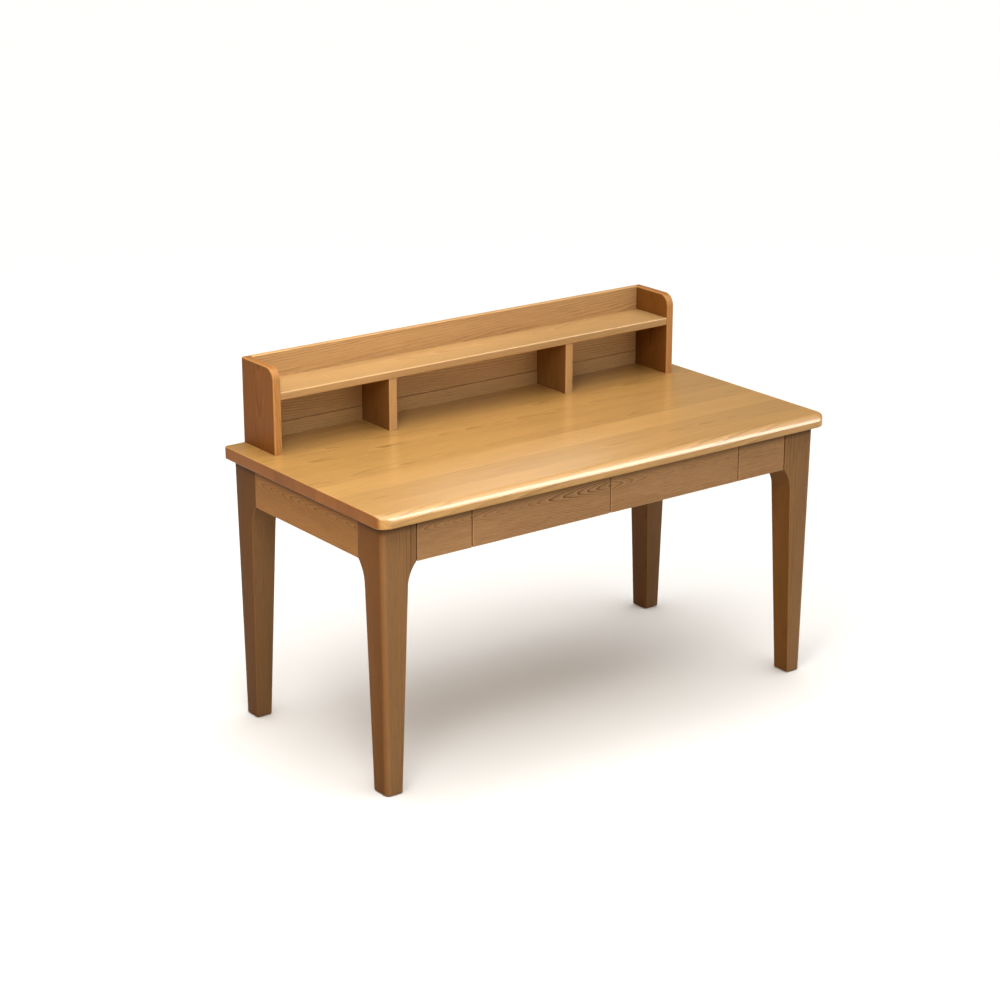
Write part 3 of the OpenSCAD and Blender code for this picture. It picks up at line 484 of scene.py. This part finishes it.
def wood(name, light, dark, order, seed=1, pith=(0.0, 0.05), boards=None, ring=5.0 * MM,
         slope=0.03, wander=8 * MM, contrast=1.0, fibre=1.0, figure=1.0, tone_shift=0.0, coat=0.0,
         gloss=0.05, edge=0.5, end=0.5, side=None, shade=0.0):
    """Lacquered wood as a solid pattern, so that it runs on over every edge. The first axis of
    order runs along the grain. Growth rings are cones round a pith, which lies at pith (across,
    depth) in the row frame and wanders along the grain; slope is how fast they widen along it. A
    ring fades from a pale early line to a dark late one, which ends sharply. Where boards (start,
    width, level) are given, each board has a pith of its own. Long fibres, short pores and broad
    tones lie over the rings. End grain is darker, by end, and the eased edges get a painted
    highlight, by edge. coat is the polish of the sides that look up. The ones that look down get
    no coat and are painted darker, as shade. side darkens the faces that look along X, as
    painted shade, and shade is how much painted shade darkens upright faces where they meet the
    desktop's underside."""
    f = Finish(bpy.data.materials.new(name))
    grain = f.coordinates(order)
    along, across, through = (f.part(grain, axis) for axis in "xyz")
    shift = seed * 1.37 % 9.0
    x, z, seam, tone = across - pith[0], through - pith[1], 0.0, 0.5
    if boards:
        start, width, level = boards
        place = (across - start) / width
        number = place.floor()
        chance = f.random(number + seed * 7.31)
        x = across - start - width * (number + chance[0] * 1.4 - 0.2)
        z = through - level + chance[1] * 0.04 + 0.012
        shift = chance[2] * 9.0
        tone = chance[0] * 0.5 + chance[2] * 0.5
        from_seam = (0.5 - (place - number - 0.5).absolute()) * width
        seam = 1 - from_seam.step(0.1 * MM, 0.8 * MM)
    travelled = f.vector(along + shift, across, through)
    course = f.streaks(travelled, 2.3, 1.2, out=1)
    x = x + (f.part(course, "x") - 0.5) * (2 * wander)
    z = z + (f.part(course, "y") - 0.5) * (2 * wander)
    distance = (x * x + z * z).sqrt() - along * slope
    fibres = f.streaks(travelled, 16.0, 380.0, detail=3.0, roughness=0.6)
    ragged = f.streaks(travelled, 24.0, 120.0, detail=2.0, roughness=0.6)
    widths = f.noise(f.vector(distance * 55.0 + shift, 0.5, 0.5), detail=1.0)
    ring_place = (distance / ring + widths * 2.2 + ragged * 0.5 + fibres * 0.25).fract()
    late = ring_place.step(0.55, 0.88) * (1 - ring_place.step(0.93, 1.0))
    early = 1 - ring_place.step(0.0, 0.28)
    shown = f.streaks(travelled, 3.2, 26.0).step(0.36, 0.70) * 0.85 + 0.15
    fine = f.streaks(travelled, 32.0, 1050.0, detail=2.0, roughness=0.6)
    pore = f.streaks(travelled, 48.0, 760.0).step(0.58, 0.70)
    broad = f.streaks(travelled, 1.3, 11.0, detail=2.0)
    normal = f.node("ShaderNodeTexCoord", out="Normal")
    end_grain = f.part(normal, order[0]).absolute().step(0.74, 0.97)
    polish = (1 - end_grain) * f.part(normal, "z").step(-0.25, 0.35)
    depth = (
        late * shown * (0.68 * contrast) - early * shown * (0.42 * contrast)
        + (fibres - 0.5) * (0.80 * fibre) + (fine - 0.5) * (0.50 * fibre)
        + pore * (early * 0.5 + 0.3) * (0.30 * fibre)
        + (broad - 0.5) * (0.85 * figure) + (tone - 0.5) * (0.9 * tone_shift)
        + seam * 0.30 + 0.34
    )
    body = f.mix(depth, rgba(light), rgba(dark))
    body = f.mix(end_grain * end, body, rgba(END_TINT), "MULTIPLY")
    # Painted shade: faces that look down are made darker.
    under = 1 - f.part(normal, "z").step(-0.85, -0.05)
    body = f.mix(under * 0.45, body, rgba(dark, 0.5))
    # Painted shade: faces that look along X take the side tint, which darkens them.
    if side:
        x_face_shade_mask = f.part(normal, "x").absolute().step(0.3, 0.9)
        body = f.mix(x_face_shade_mask, body, rgba(side), "MULTIPLY")
    # Painted highlight: the eased edges are made paler, by edge, as if light caught them.
    worn = f.node("ShaderNodeAttribute", {"attribute_name": "worn"}, out="Fac")
    body = f.mix(worn * edge, body, rgba(light, 1.35))
    # Painted shade: upright faces darken just under the desktop's underside, by shade.
    if shade:
        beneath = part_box("desktop")[0][2] - f.part(f.coordinates(), "z")
        clear = beneath.step(*SHADE_BAND)
        upright = 1 - f.part(normal, "z").step(0.3, 0.9)
        body = f.mix((1 - clear) * upright * shade, body, rgba(dark, 0.3))
    grooves = f.bump(1 - pore * 0.8 - late * 0.2 - fibres * 0.3, 0.12 * MM, 0.5)
    lacquer = f.noise(f.scaled(grain, (22.0, 40.0, 40.0)), detail=1.0)
    return f.surface(
        Base_Color=body, Roughness=fibres * 0.14 + 0.34 + end_grain * 0.1,
        Normal=f.bump(lacquer, 0.4 * MM, 0.25, grooves),
        Coat_Weight=polish * coat, Coat_Roughness=0.22, Coat_IOR=1.5, Specular_IOR_Level=gloss,
    )


def zinc_plate(name, base, order, seed=3):
    """Zinc-plated rolled steel: faint rolling lines along the first axis and cloudy plating."""
    f = Finish(bpy.data.materials.new(name))
    place = f.moved(f.coordinates(order), (seed * 1.7, seed * 0.9, seed * 2.3))
    rolled = f.noise(f.scaled(place, (12.0, 900.0, 900.0)), detail=2.0)
    cloud = f.noise(place, 95.0, detail=3.0, roughness=0.6)
    tint = f.mix(cloud.step(0.3, 0.75), rgba(base, 0.86), rgba(base, 1.12))
    relief = f.bump(rolled, 0.03 * MM, 0.6)
    return f.surface(
        Base_Color=tint, Metallic=1.0, Roughness=rolled * 0.16 + cloud * 0.18 + 0.16, Normal=relief
    )


def pressed_felt(name, base):
    """Felt: matted fibres that lie every way, lighter at their tips."""
    f = Finish(bpy.data.materials.new(name))
    place = f.coordinates()
    matted = f.noise(place, 900.0, detail=4.0, roughness=0.7, distortion=1.2)
    clumps = f.noise(place, 160.0, detail=3.0)
    tint = f.mix(matted.step(0.3, 0.8), rgba(base), rgba(base, 2.2, 0.02))
    return f.surface(
        Base_Color=tint, Roughness=0.95, Normal=f.bump(matted * 0.7 + clumps * 0.5, 0.5 * MM, 0.9),
        Sheen_Weight=0.3, Sheen_Roughness=0.5,
    )


# ---------- Operators ----------


class DESK_OT_desktop(bpy.types.Operator):
    """Makes the glued desktop with its rounded front nose"""

    bl_idname = "desk.desktop"
    bl_label = "Desktop"

    def execute(self, context):
        size, tint = context.scene.desk_sizes, context.scene.desk_colours
        low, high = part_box("desktop")
        nose, under, side = size.nose, size.under_nose, size.side_easing
        piece = board(
            "desktop_slab", "top", low, high,
            [size.front_corner, size.front_corner, size.rear_corner, size.rear_corner],
            [under, side, side, side], [nose, side, side, side],
            run=[size.nose_run, side, side, side], steps=13,
        )
        material = wood(
            "lacquered_desktop", tint.top_light, tint.top_dark, "xyz", seed=4,
            boards=(low[1], BOARD_WIDTH, high[2]), ring=5.5 * MM, slope=0.035, wander=6 * MM,
            contrast=0.75, fibre=0.6, figure=0.8, tone_shift=0.6, coat=1.0, gloss=0.2, edge=0.0,
            end=1.0,
        )
        finish_piece(piece, ROOT, "desktop_wood", material, "desktop")
        return {"FINISHED"}


def leg_rings(size, node):
    """Sections of one leg from foot to head, in its own axes: u and v run inwards from the outer
    faces of the head. The outer sides lean in towards the foot. An inner side goes straight from
    the foot to the knee, then along a circle that ends at the head, and then straight up. The
    inner corner has a flat above the edge of the aprons."""
    low, high = arrays(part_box(node))
    head = (high - low)[:2]
    foot_z, top_z = low[2], high[2]
    apron_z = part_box("side_apron_left")[0][2]
    knee_z = apron_z - size.bracket_drop
    radius = (size.bracket_run**2 + size.bracket_drop**2) / (2 * size.bracket_run)
    curl = np.sin(np.linspace(0, math.asin(size.bracket_drop / radius), 13)[1:]) * radius
    quarter = np.linspace(0, math.pi / 2, 6)
    rise = size.foot_easing * (1 - np.cos(quarter))
    inset = size.foot_easing * (1 - np.sin(quarter))
    z = np.concatenate([
        foot_z + rise, np.linspace(foot_z + 0.02, knee_z, 12), knee_z + curl,
        [apron_z + 0.0003], [top_z],
    ])
    trim = np.concatenate([inset, np.zeros(len(z) - len(inset))])
    share = (top_z - z) / (top_z - foot_z)
    outer = [size.leg_lean_x * share, size.leg_lean_y * share]
    inner = []
    for across, foot, lean in ((0, size.foot_w, size.leg_lean_x), (1, size.foot_d, size.leg_lean_y)):
        knee = head[across] - size.bracket_run
        taper = lean + foot + (knee - lean - foot) * np.clip((z - foot_z) / (knee_z - foot_z), 0, 1)
        bow = radius - np.sqrt(radius**2 - np.clip(z - knee_z, 0, size.bracket_drop) ** 2)
        inner.append(taper + bow)
    flat = np.where(z > apron_z + 0.0002, size.leg_flat, 2 * size.leg_arris)
    rings, worn = [], []
    radii = [size.leg_corner] + [size.leg_arris] * 4
    bend = np.tile(np.sin(np.linspace(0, math.pi, LEG_STEPS + 1)), len(radii))
    for k in range(len(z)):
        u0, v0, u1, v1 = outer[0][k], outer[1][k], inner[0][k], inner[1][k]
        corners = [(u0, v0), (u1, v0), (u1, v1 - flat[k]), (u1 - flat[k], v1), (u0, v1)]
        points = rounded_outline(corners, radii, trim[k], LEG_STEPS)
        rings.append(np.column_stack([points, np.full(len(points), z[k])]))
        at_foot = 0 < trim[k] < size.foot_easing
        foot = math.sin(2 * math.acos(1 - trim[k] / size.foot_easing)) if at_foot else 0
        worn.append(np.maximum(bend, foot))
    return np.array(rings), np.array(worn), low, high


class DESK_OT_legs(bpy.types.Operator):
    """Makes the four tapered legs with their bracket curves"""

    bl_idname = "desk.legs"
    bl_label = "Legs"

    def execute(self, context):
        size, tint = context.scene.desk_sizes, context.scene.desk_colours
        places = (("left", "front"), ("right", "front"), ("left", "rear"), ("right", "rear"))
        for seed, (side, end) in enumerate(places):
            node = f"leg_{end}_{side}"
            rings, worn, low, high = leg_rings(size, node)
            outer_x, across = (low[0], 1) if side == "left" else (high[0], -1)
            outer_y, inward = (low[1], 1) if end == "front" else (high[1], -1)
            rings[..., 0] = outer_x + across * rings[..., 0]
            rings[..., 1] = outer_y + inward * rings[..., 1]
            if across * inward < 0:  # mirrored once, so its rings have to run the other way
                rings, worn = rings[:, ::-1], worn[:, ::-1]
            piece = skin(f"{side}_{end}_leg", rings, worn)
            # Painted shade: the rear legs are coloured darker than the front ones.
            painted_leg_shade = 1.0 if end == "front" else REAR_LEG_SHADE
            material = wood(
                f"lacquered_{side}_{end}_leg", [part * painted_leg_shade for part in tint.leg_light],
                [part * painted_leg_shade for part in tint.leg_dark], "zxy", seed=20 + seed,
                pith=(outer_x + across * 0.13, outer_y + inward * 0.12), slope=0.01,
                wander=5 * MM, contrast=0.55, fibre=0.9, edge=0.35, side=tint.painted_side_shade, shade=0.85,
            )
            finish_piece(piece, ROOT, "leg_wood", material, node)
        return {"FINISHED"}


def drawer_face_rings(size, low, high):
    """Sections of a drawer face along its length. Each one is a rectangle with eased corners whose
    lower rear corner is scooped out by a circle round that corner. The circle's radius is the
    cove's along the middle, and past it the radius of a ball cut at that place, so that the cove
    ends in two quarter balls."""
    ease = size.face_easing
    quarter = np.linspace(0, math.pi / 2, 6)
    ends_x = ease * (1 - np.cos(quarter))
    ends_in = ease * (1 - np.sin(quarter))
    middle = (low[0] + high[0]) / 2
    swell = np.sin(np.linspace(0, math.pi / 2, 12)) * size.cove
    half = size.cove_length / 2
    straight = np.linspace(-half, half, 9)[1:-1]
    cove_x = middle + np.concatenate([-(half + swell[::-1]), straight, half + swell])
    x = np.concatenate([low[0] + ends_x, cove_x, (high[0] - ends_x)[::-1]])
    inset = np.concatenate([ends_in, np.zeros(len(cove_x)), ends_in[::-1]])
    beyond = np.clip(np.abs(x - middle) - half, 0, None)
    scoop = np.sqrt(np.clip(size.cove**2 - beyond**2, SHALLOWEST**2, None))
    turn = np.linspace(0, math.pi / 2, 7)
    y0, y1, z0, z1 = low[1], high[1], low[2], high[2]
    parts, outward = [], []
    for y, z, start in (
        (y0 + ease, z0 + ease, math.pi), (y0 + ease, z1 - ease, math.pi / 2),
        (y1 - ease, z1 - ease, 0),
    ):
        around = start + (math.pi / 2 - turn)
        normal = np.column_stack([np.cos(around), np.sin(around)])
        parts.append(np.array([y, z]) + ease * normal)
        outward.append(normal)
    outward = np.concatenate(outward + [np.column_stack([np.sin(turn), -np.cos(turn)])])
    bend = np.concatenate([np.tile(np.sin(2 * turn), 3), np.zeros(len(turn))])
    rings, worn = [], []
    for k in range(len(x)):
        hollow = np.column_stack([y1 - scoop[k] * np.sin(turn), z0 + scoop[k] * np.cos(turn)])
        flat = np.concatenate(parts + [hollow]) - outward * inset[k]
        rings.append(np.column_stack([np.full(len(flat), x[k]), flat]))
        worn.append(np.maximum(bend, 1.0 if 0 < inset[k] < ease else 0.0))
    return np.array(rings), np.array(worn)


class DESK_OT_fronts(bpy.types.Operator):
    """Makes the drawer faces, the fixed front panels and the aprons"""

    bl_idname = "desk.fronts"
    bl_label = "Fronts and aprons"

    def execute(self, context):
        size, tint = context.scene.desk_sizes, context.scene.desk_colours
        ease, lower, joint = size.face_easing, size.apron_easing, size.joint_easing
        for seed, side in enumerate(("left", "right")):
            low, high = arrays(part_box(f"{side}_drawer_face"))
            rings, worn = drawer_face_rings(size, low, high)
            piece = skin(f"{side}_face_board", rings, worn)
            material = wood(
                f"lacquered_{side}_face", tint.front_light, tint.front_dark, "xzy", seed=31 + seed,
                pith=(0.654, low[1] + FRONT_PITH), ring=3.5 * MM, slope=0.10 - 0.20 * seed,
                wander=7 * MM, contrast=1.1, figure=0.6, shade=0.65,
            )
            finish_piece(piece, f"{side}_drawer", "front_wood", material, f"{side}_drawer_face")
            low, high = arrays(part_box(f"front_panel_{side}"))
            leg_low, leg_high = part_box(f"leg_front_{side}")
            if side == "left":
                low[0] = leg_high[0] + PANEL_GAP
            else:
                high[0] = leg_low[0] - PANEL_GAP
            piece = board(
                f"{side}_front_panel", "front", low, high, [joint] * 4, [joint] * 4, [ease] * 4
            )
            material = wood(
                f"lacquered_{side}_panel", tint.front_light, tint.front_dark, "xzy", seed=41 + seed,
                pith=(0.66, low[1] + FRONT_PITH), ring=3.5 * MM, slope=0.14 - 0.28 * seed,
                wander=5 * MM, contrast=1.1, figure=0.6, shade=0.85,
            )
            finish_piece(piece, ROOT, "front_wood", material, f"front_panel_{side}")
            low, high = arrays(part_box(f"side_apron_{side}"))
            low[1], high[1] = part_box(f"leg_front_{side}")[1][1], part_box(f"leg_rear_{side}")[0][1]
            pith_x = low[0] + APRON_PITH if side == "left" else high[0] - APRON_PITH
            piece = board(
                f"{side}_side_apron", side, low, high, [joint] * 4,
                [joint] * 4, [lower, joint, joint, joint],
            )
            material = wood(
                f"lacquered_{side}_apron", tint.apron_light, tint.apron_dark, "yzx", seed=51 + seed,
                pith=(0.655, pith_x), ring=4.3 * MM, slope=-0.10, wander=7 * MM, contrast=0.7,
                fibre=0.9, figure=0.6, shade=0.8,
            )
            finish_piece(piece, ROOT, "apron_wood", material, f"side_apron_{side}")
        material = wood(
            "lacquered_rear_apron", tint.apron_light, tint.apron_dark, "xzy", seed=61,
            pith=(0.66, 0.25), ring=5.5 * MM, wander=12 * MM,
        )
        dress(["rear_apron"], material)
        return {"FINISHED"}


class DESK_OT_hutch(bpy.types.Operator):
    """Makes the hutch: its sides, shelf, dividers and two-part back"""

    bl_idname = "desk.hutch"
    bl_label = "Hutch"

    def execute(self, context):
        size, tint = context.scene.desk_sizes, context.scene.desk_colours
        ease, small, joint = size.hutch_easing, size.shelf_easing, size.joint_easing
        corner = size.hutch_corner
        for seed, side in enumerate(("left", "right")):
            low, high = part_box(f"hutch_side_{side}")
            if side == "left":  # seen from the left, the front is on the right
                radii = [joint, joint, corner, ease]
            else:
                radii = [joint, joint, ease, corner]
            eased = [joint, ease, ease, ease]
            piece = board(f"hutch_{side}_side", side, low, high, radii, eased, eased)
            material = wood(
                f"lacquered_hutch_{side}", tint.hutch_light, tint.hutch_dark, "zyx", seed=71 + seed,
                pith=(0.27, low[0] + 0.06 if side == "left" else high[0] - 0.06), ring=4.5 * MM,
                slope=0.04, contrast=0.7, side=tint.painted_hutch_shade,
            )
            finish_piece(piece, ROOT, "hutch_wood", material, f"hutch_side_{side}")
        inner_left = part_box("hutch_side_left")[1][0]
        inner_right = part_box("hutch_side_right")[0][0]
        low, high = arrays(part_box("hutch_shelf"))
        low[0], high[0] = inner_left, inner_right
        piece = board(
            "hutch_long_shelf", "top", low, high, [joint] * 4,
            [small, joint, joint, joint], [small, joint, joint, joint],
        )
        shelf_wood = wood(
            "lacquered_shelf", tint.shelf_light, tint.shelf_dark, "xyz", seed=81,
            pith=(0.29, 0.81), contrast=0.6, fibre=0.7, coat=0.35,
        )
        finish_piece(piece, ROOT, "hutch_wood", shelf_wood, "hutch_shelf")
        shelf_under = low[2]
        for seed, side in enumerate(("left", "right")):
            low, high = arrays(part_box(f"hutch_divider_{side}"))
            high[2] = shelf_under
            front = [joint, joint, joint, small] if side == "right" else [joint, small, joint, joint]
            piece = board(f"hutch_{side}_divider", side, low, high, [joint] * 4, front, front)
            material = wood(
                f"lacquered_divider_{side}", tint.back_light, tint.back_dark, "zyx", seed=85 + seed,
                pith=(0.27, low[0] - 0.05), ring=4.5 * MM, contrast=0.6, fibre=0.8,
                side=tint.painted_hutch_shade,
            )
            finish_piece(piece, ROOT, "hutch_wood", material, f"hutch_divider_{side}")
        low, high = arrays(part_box("hutch_back_panel"))
        eased = [SEAM_EASING, joint, size.back_easing, joint]
        piece = board("hutch_back_board", "front", low, high, [joint] * 4, eased, eased)
        material = wood(
            "lacquered_hutch_back", tint.back_light, tint.back_dark, "xzy", seed=91,
            pith=(0.86, 0.395), slope=0.03, wander=8 * MM, contrast=0.8,
        )
        finish_piece(piece, ROOT, "hutch_wood", material, "hutch_back_panel")
        rail_top = low[2] - SEAM_GAP
        low, high = arrays(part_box("hutch_back_rail"))
        high[2] = rail_top
        eased = [joint, joint, SEAM_EASING, joint]
        piece = board("hutch_lower_back", "front", low, high, [joint] * 4, eased, eased)
        finish_piece(piece, ROOT, "hutch_wood", material, "hutch_back_rail")
        return {"FINISHED"}


class DESK_OT_inside(bpy.types.Operator):
    """Finishes the drawer boxes, carriers, corner blocks and dowels"""

    bl_idname = "desk.inside"
    bl_label = "Drawer boxes and inner wood"

    def execute(self, context):
        tint = context.scene.desk_colours
        inner, box = (tint.inner_light, tint.inner_dark), (tint.box_light, tint.box_dark)
        rail = wood("sealed_rail", *inner, "xyz", seed=101, contrast=0.7, coat=0.1)
        carriers = wood("sealed_carrier", *inner, "yzx", seed=103, contrast=0.8, coat=0.1)
        blocks = wood("sealed_block", *inner, "xyz", seed=105, contrast=0.9, coat=0.05)
        dress(["front_rail"], rail)
        dress([name for name in NODES if name.startswith("drawer_carrier")], carriers)
        dress(["corner_blocks", "hutch_dowels"], blocks)
        for seed, side in enumerate(("left", "right")):
            across = wood(
                f"sealed_{side}_box_ends", *box, "xzy", seed=111 + seed,
                contrast=0.5, fibre=0.6, coat=0.15, pith=(0.66, -0.2),
            )
            lengthwise = wood(
                f"sealed_{side}_box_sides", *box, "yzx", seed=113 + seed,
                contrast=0.5, fibre=0.6, coat=0.15, pith=(0.66, 0.0),
            )
            bottom = wood(
                f"sealed_{side}_box_bottom", *box, "xyz", seed=115 + seed,
                ring=6 * MM, contrast=0.4, fibre=0.5, coat=0.1, pith=(0.0, 0.5),
            )
            dress([f"{side}_drawer_box_front", f"{side}_drawer_back"], across)
            dress([f"{side}_drawer_side_outer", f"{side}_drawer_side_inner"], lengthwise)
            dress([f"{side}_drawer_bottom"], bottom)
        return {"FINISHED"}


class DESK_OT_hardware(bpy.types.Operator):
    """Finishes the slides, brackets, screws, bolts and felt pads"""

    bl_idname = "desk.hardware"
    bl_label = "Hardware"

    def execute(self, context):
        tint = context.scene.desk_colours
        rails = zinc_plate("zinc_rails", tint.zinc, "yxz")
        small = zinc_plate("zinc_fasteners", [part * 1.05 for part in tint.zinc], "zxy", seed=5)
        slide = ("rail_outer", "rail_inner", "middle_rails", "ball_cages")
        fastener = ("screws", "hanger_bolts", "flange_nuts", "desktop_brackets")
        dress([name for name in NODES if any(word in name for word in slide)], rails)
        dress([name for name in NODES if any(word in name for word in fastener)], small)
        dress(["foot_pads"], pressed_felt("pressed_felt", tint.felt))
        return {"FINISHED"}


DAYLIGHT = (1.0, 0.97, 0.91)
LAMPS = {
    "key": dict(
        place=(-1.35, -1.15, 2.1), target=(-0.5, -0.2, 0.7), size=(0.9, 0.9), tint=(1.0, 0.98, 0.92),
    ),
    "top": dict(
        place=(-0.4, 0.1, 2.0), target=(-0.4, 0.1, 0.7), size=(0.8, 0.8), tint=DAYLIGHT,
        lights="body",
    ),
    "fill": dict(
        place=(1.0, -3.6, 1.3), target=(0.3, 0.0, 0.5), size=(2.0, 1.2), tint=DAYLIGHT,
        lights="body",
    ),
    "warm": dict(
        place=(-4.2, -0.6, 0.75), target=(0.0, -0.2, 0.45), size=(2.4, 1.2), tint=(1.0, 0.46, 0.04),
        lights="body",
    ),
    "sheen": dict(
        place=(3.57, 4.81, 2.9), target=(-0.3, -0.3, 0.74), size=(1.0, 1.8), tint=(1.0, 0.95, 0.84),
        lights="gloss",
    ),
    "gleam": dict(
        place=(2.5, -2.5, 3.2), target=(0.0, -0.3, 0.7), size=(2.4, 4.4), tint=(1.0, 0.98, 0.94),
        lights="gloss",
    ),
}


def soft_light(name, watts, place, target, size, tint, lights="both"):
    """A large rectangular light at a place, turned towards a target. One that lights the gloss
    shows in the lacquer alone, and one that lights the body doesn't show in it."""
    data = bpy.data.lights.new(name, "AREA")
    data.shape = "RECTANGLE"
    data.size, data.size_y = size
    data.energy, data.color = watts, tint
    lamp = bpy.data.objects.new(name, data)
    bpy.context.scene.collection.objects.link(lamp)
    away = np.asarray(place, float) - np.asarray(target, float)
    lamp.location = place
    lamp.rotation_euler = (
        math.atan2(math.hypot(away[0], away[1]), away[2]), 0.0, math.atan2(away[0], -away[1])
    )
    lamp.visible_diffuse = lights != "gloss"
    lamp.visible_glossy = lights != "body"


class DESK_OT_stage(bpy.types.Operator):
    """Sets up the pale floor, the soft studio light and the camera"""

    bl_idname = "desk.stage"
    bl_label = "Stage"

    def execute(self, context):
        scene, stage = context.scene, context.scene.desk_stage
        mesh = bpy.data.meshes.new("floor")
        square = [(-FLOOR, -FLOOR, 0), (FLOOR, -FLOOR, 0), (FLOOR, FLOOR, 0), (-FLOOR, FLOOR, 0)]
        mesh.from_pydata(square, [], [(0, 1, 2, 3)])
        floor = bpy.data.objects.new("floor", mesh)
        scene.collection.objects.link(floor)
        pale = Finish(bpy.data.materials.new("pale_floor"))
        mesh.materials.append(
            pale.surface(Base_Color=rgba(stage.floor), Roughness=0.9, Specular_IOR_Level=0.1)
        )
        sky = Finish(bpy.data.worlds.new("surroundings"))
        height = sky.part(sky.node("ShaderNodeTexCoord", out="Generated"), "z")
        glow = height.step(math.sin(stage.sky_from), math.sin(stage.sky_to))
        above_band = height.absolute().step(math.sin(stage.horizon / 2), math.sin(stage.horizon))
        glow = glow + (1 - above_band)
        strength = glow * (stage.sky_high - stage.sky_low) + stage.sky_low
        background = sky.node(
            "ShaderNodeBackground", None, {"Color": rgba(stage.sky), "Strength": strength}
        )
        sky.node("ShaderNodeOutputWorld", None, {"Surface": background})
        scene.world = sky.owner
        overhead = bpy.data.lights.new("overhead", "SUN")
        overhead.energy, overhead.color = stage.overhead_strength, DAYLIGHT
        overhead.angle = math.radians(70)
        lamp = bpy.data.objects.new("overhead", overhead)
        scene.collection.objects.link(lamp)
        lamp.rotation_euler = (0.0, math.radians(6), 0.0)
        for name, settings in LAMPS.items():
            soft_light(name, getattr(stage, f"{name}_power"), **settings)
        camera_data = bpy.data.cameras.new("camera")
        camera_data.lens, camera_data.sensor_width = stage.camera_lens, 36.0
        camera = bpy.data.objects.new("camera", camera_data)
        scene.collection.objects.link(camera)
        camera.location = stage.camera_place
        camera.rotation_euler = (math.pi / 2 + stage.camera_tilt, 0.0, stage.camera_turn)
        scene.camera = camera
        scene.view_settings.view_transform = "Standard"
        return {"FINISHED"}


class DESK_PT_panel(bpy.types.Panel):
    """Lists the steps that build the desk"""

    bl_idname = "DESK_PT_panel"
    bl_label = "Writing Desk"
    bl_space_type = "VIEW_3D"
    bl_region_type = "UI"
    bl_category = "Desk"

    def draw(self, context):
        column = self.layout.column()
        for step in STEPS:
            column.operator(step.bl_idname)
        for group in (context.scene.desk_sizes, context.scene.desk_colours, context.scene.desk_stage):
            box = self.layout.box()
            for name in group.__annotations__:
                box.prop(group, name)


STEPS = (
    DESK_OT_stage, DESK_OT_desktop, DESK_OT_legs, DESK_OT_fronts, DESK_OT_hutch, DESK_OT_inside,
    DESK_OT_hardware,
)
GROUPS = {"desk_sizes": DeskSizes, "desk_colours": DeskColours, "desk_stage": StageSettings}


def register():
    for group in GROUPS.values():
        bpy.utils.register_class(group)
    for name, group in GROUPS.items():
        setattr(bpy.types.Scene, name, PointerProperty(type=group))
    for step in STEPS:
        bpy.utils.register_class(step)
    bpy.utils.register_class(DESK_PT_panel)


def unregister():
    bpy.utils.unregister_class(DESK_PT_panel)
    for step in reversed(STEPS):
        bpy.utils.unregister_class(step)
    for name, group in GROUPS.items():
        delattr(bpy.types.Scene, name)
        bpy.utils.unregister_class(group)


def main():
    """Registers the add-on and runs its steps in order."""
    register()
    for step in STEPS:
        category, name = step.bl_idname.split(".")
        result = getattr(getattr(bpy.ops, category), name)()
        if result != {"FINISHED"}:
            raise RuntimeError(f"{step.bl_idname} didn't finish")


if __name__ == "__main__":
    main()
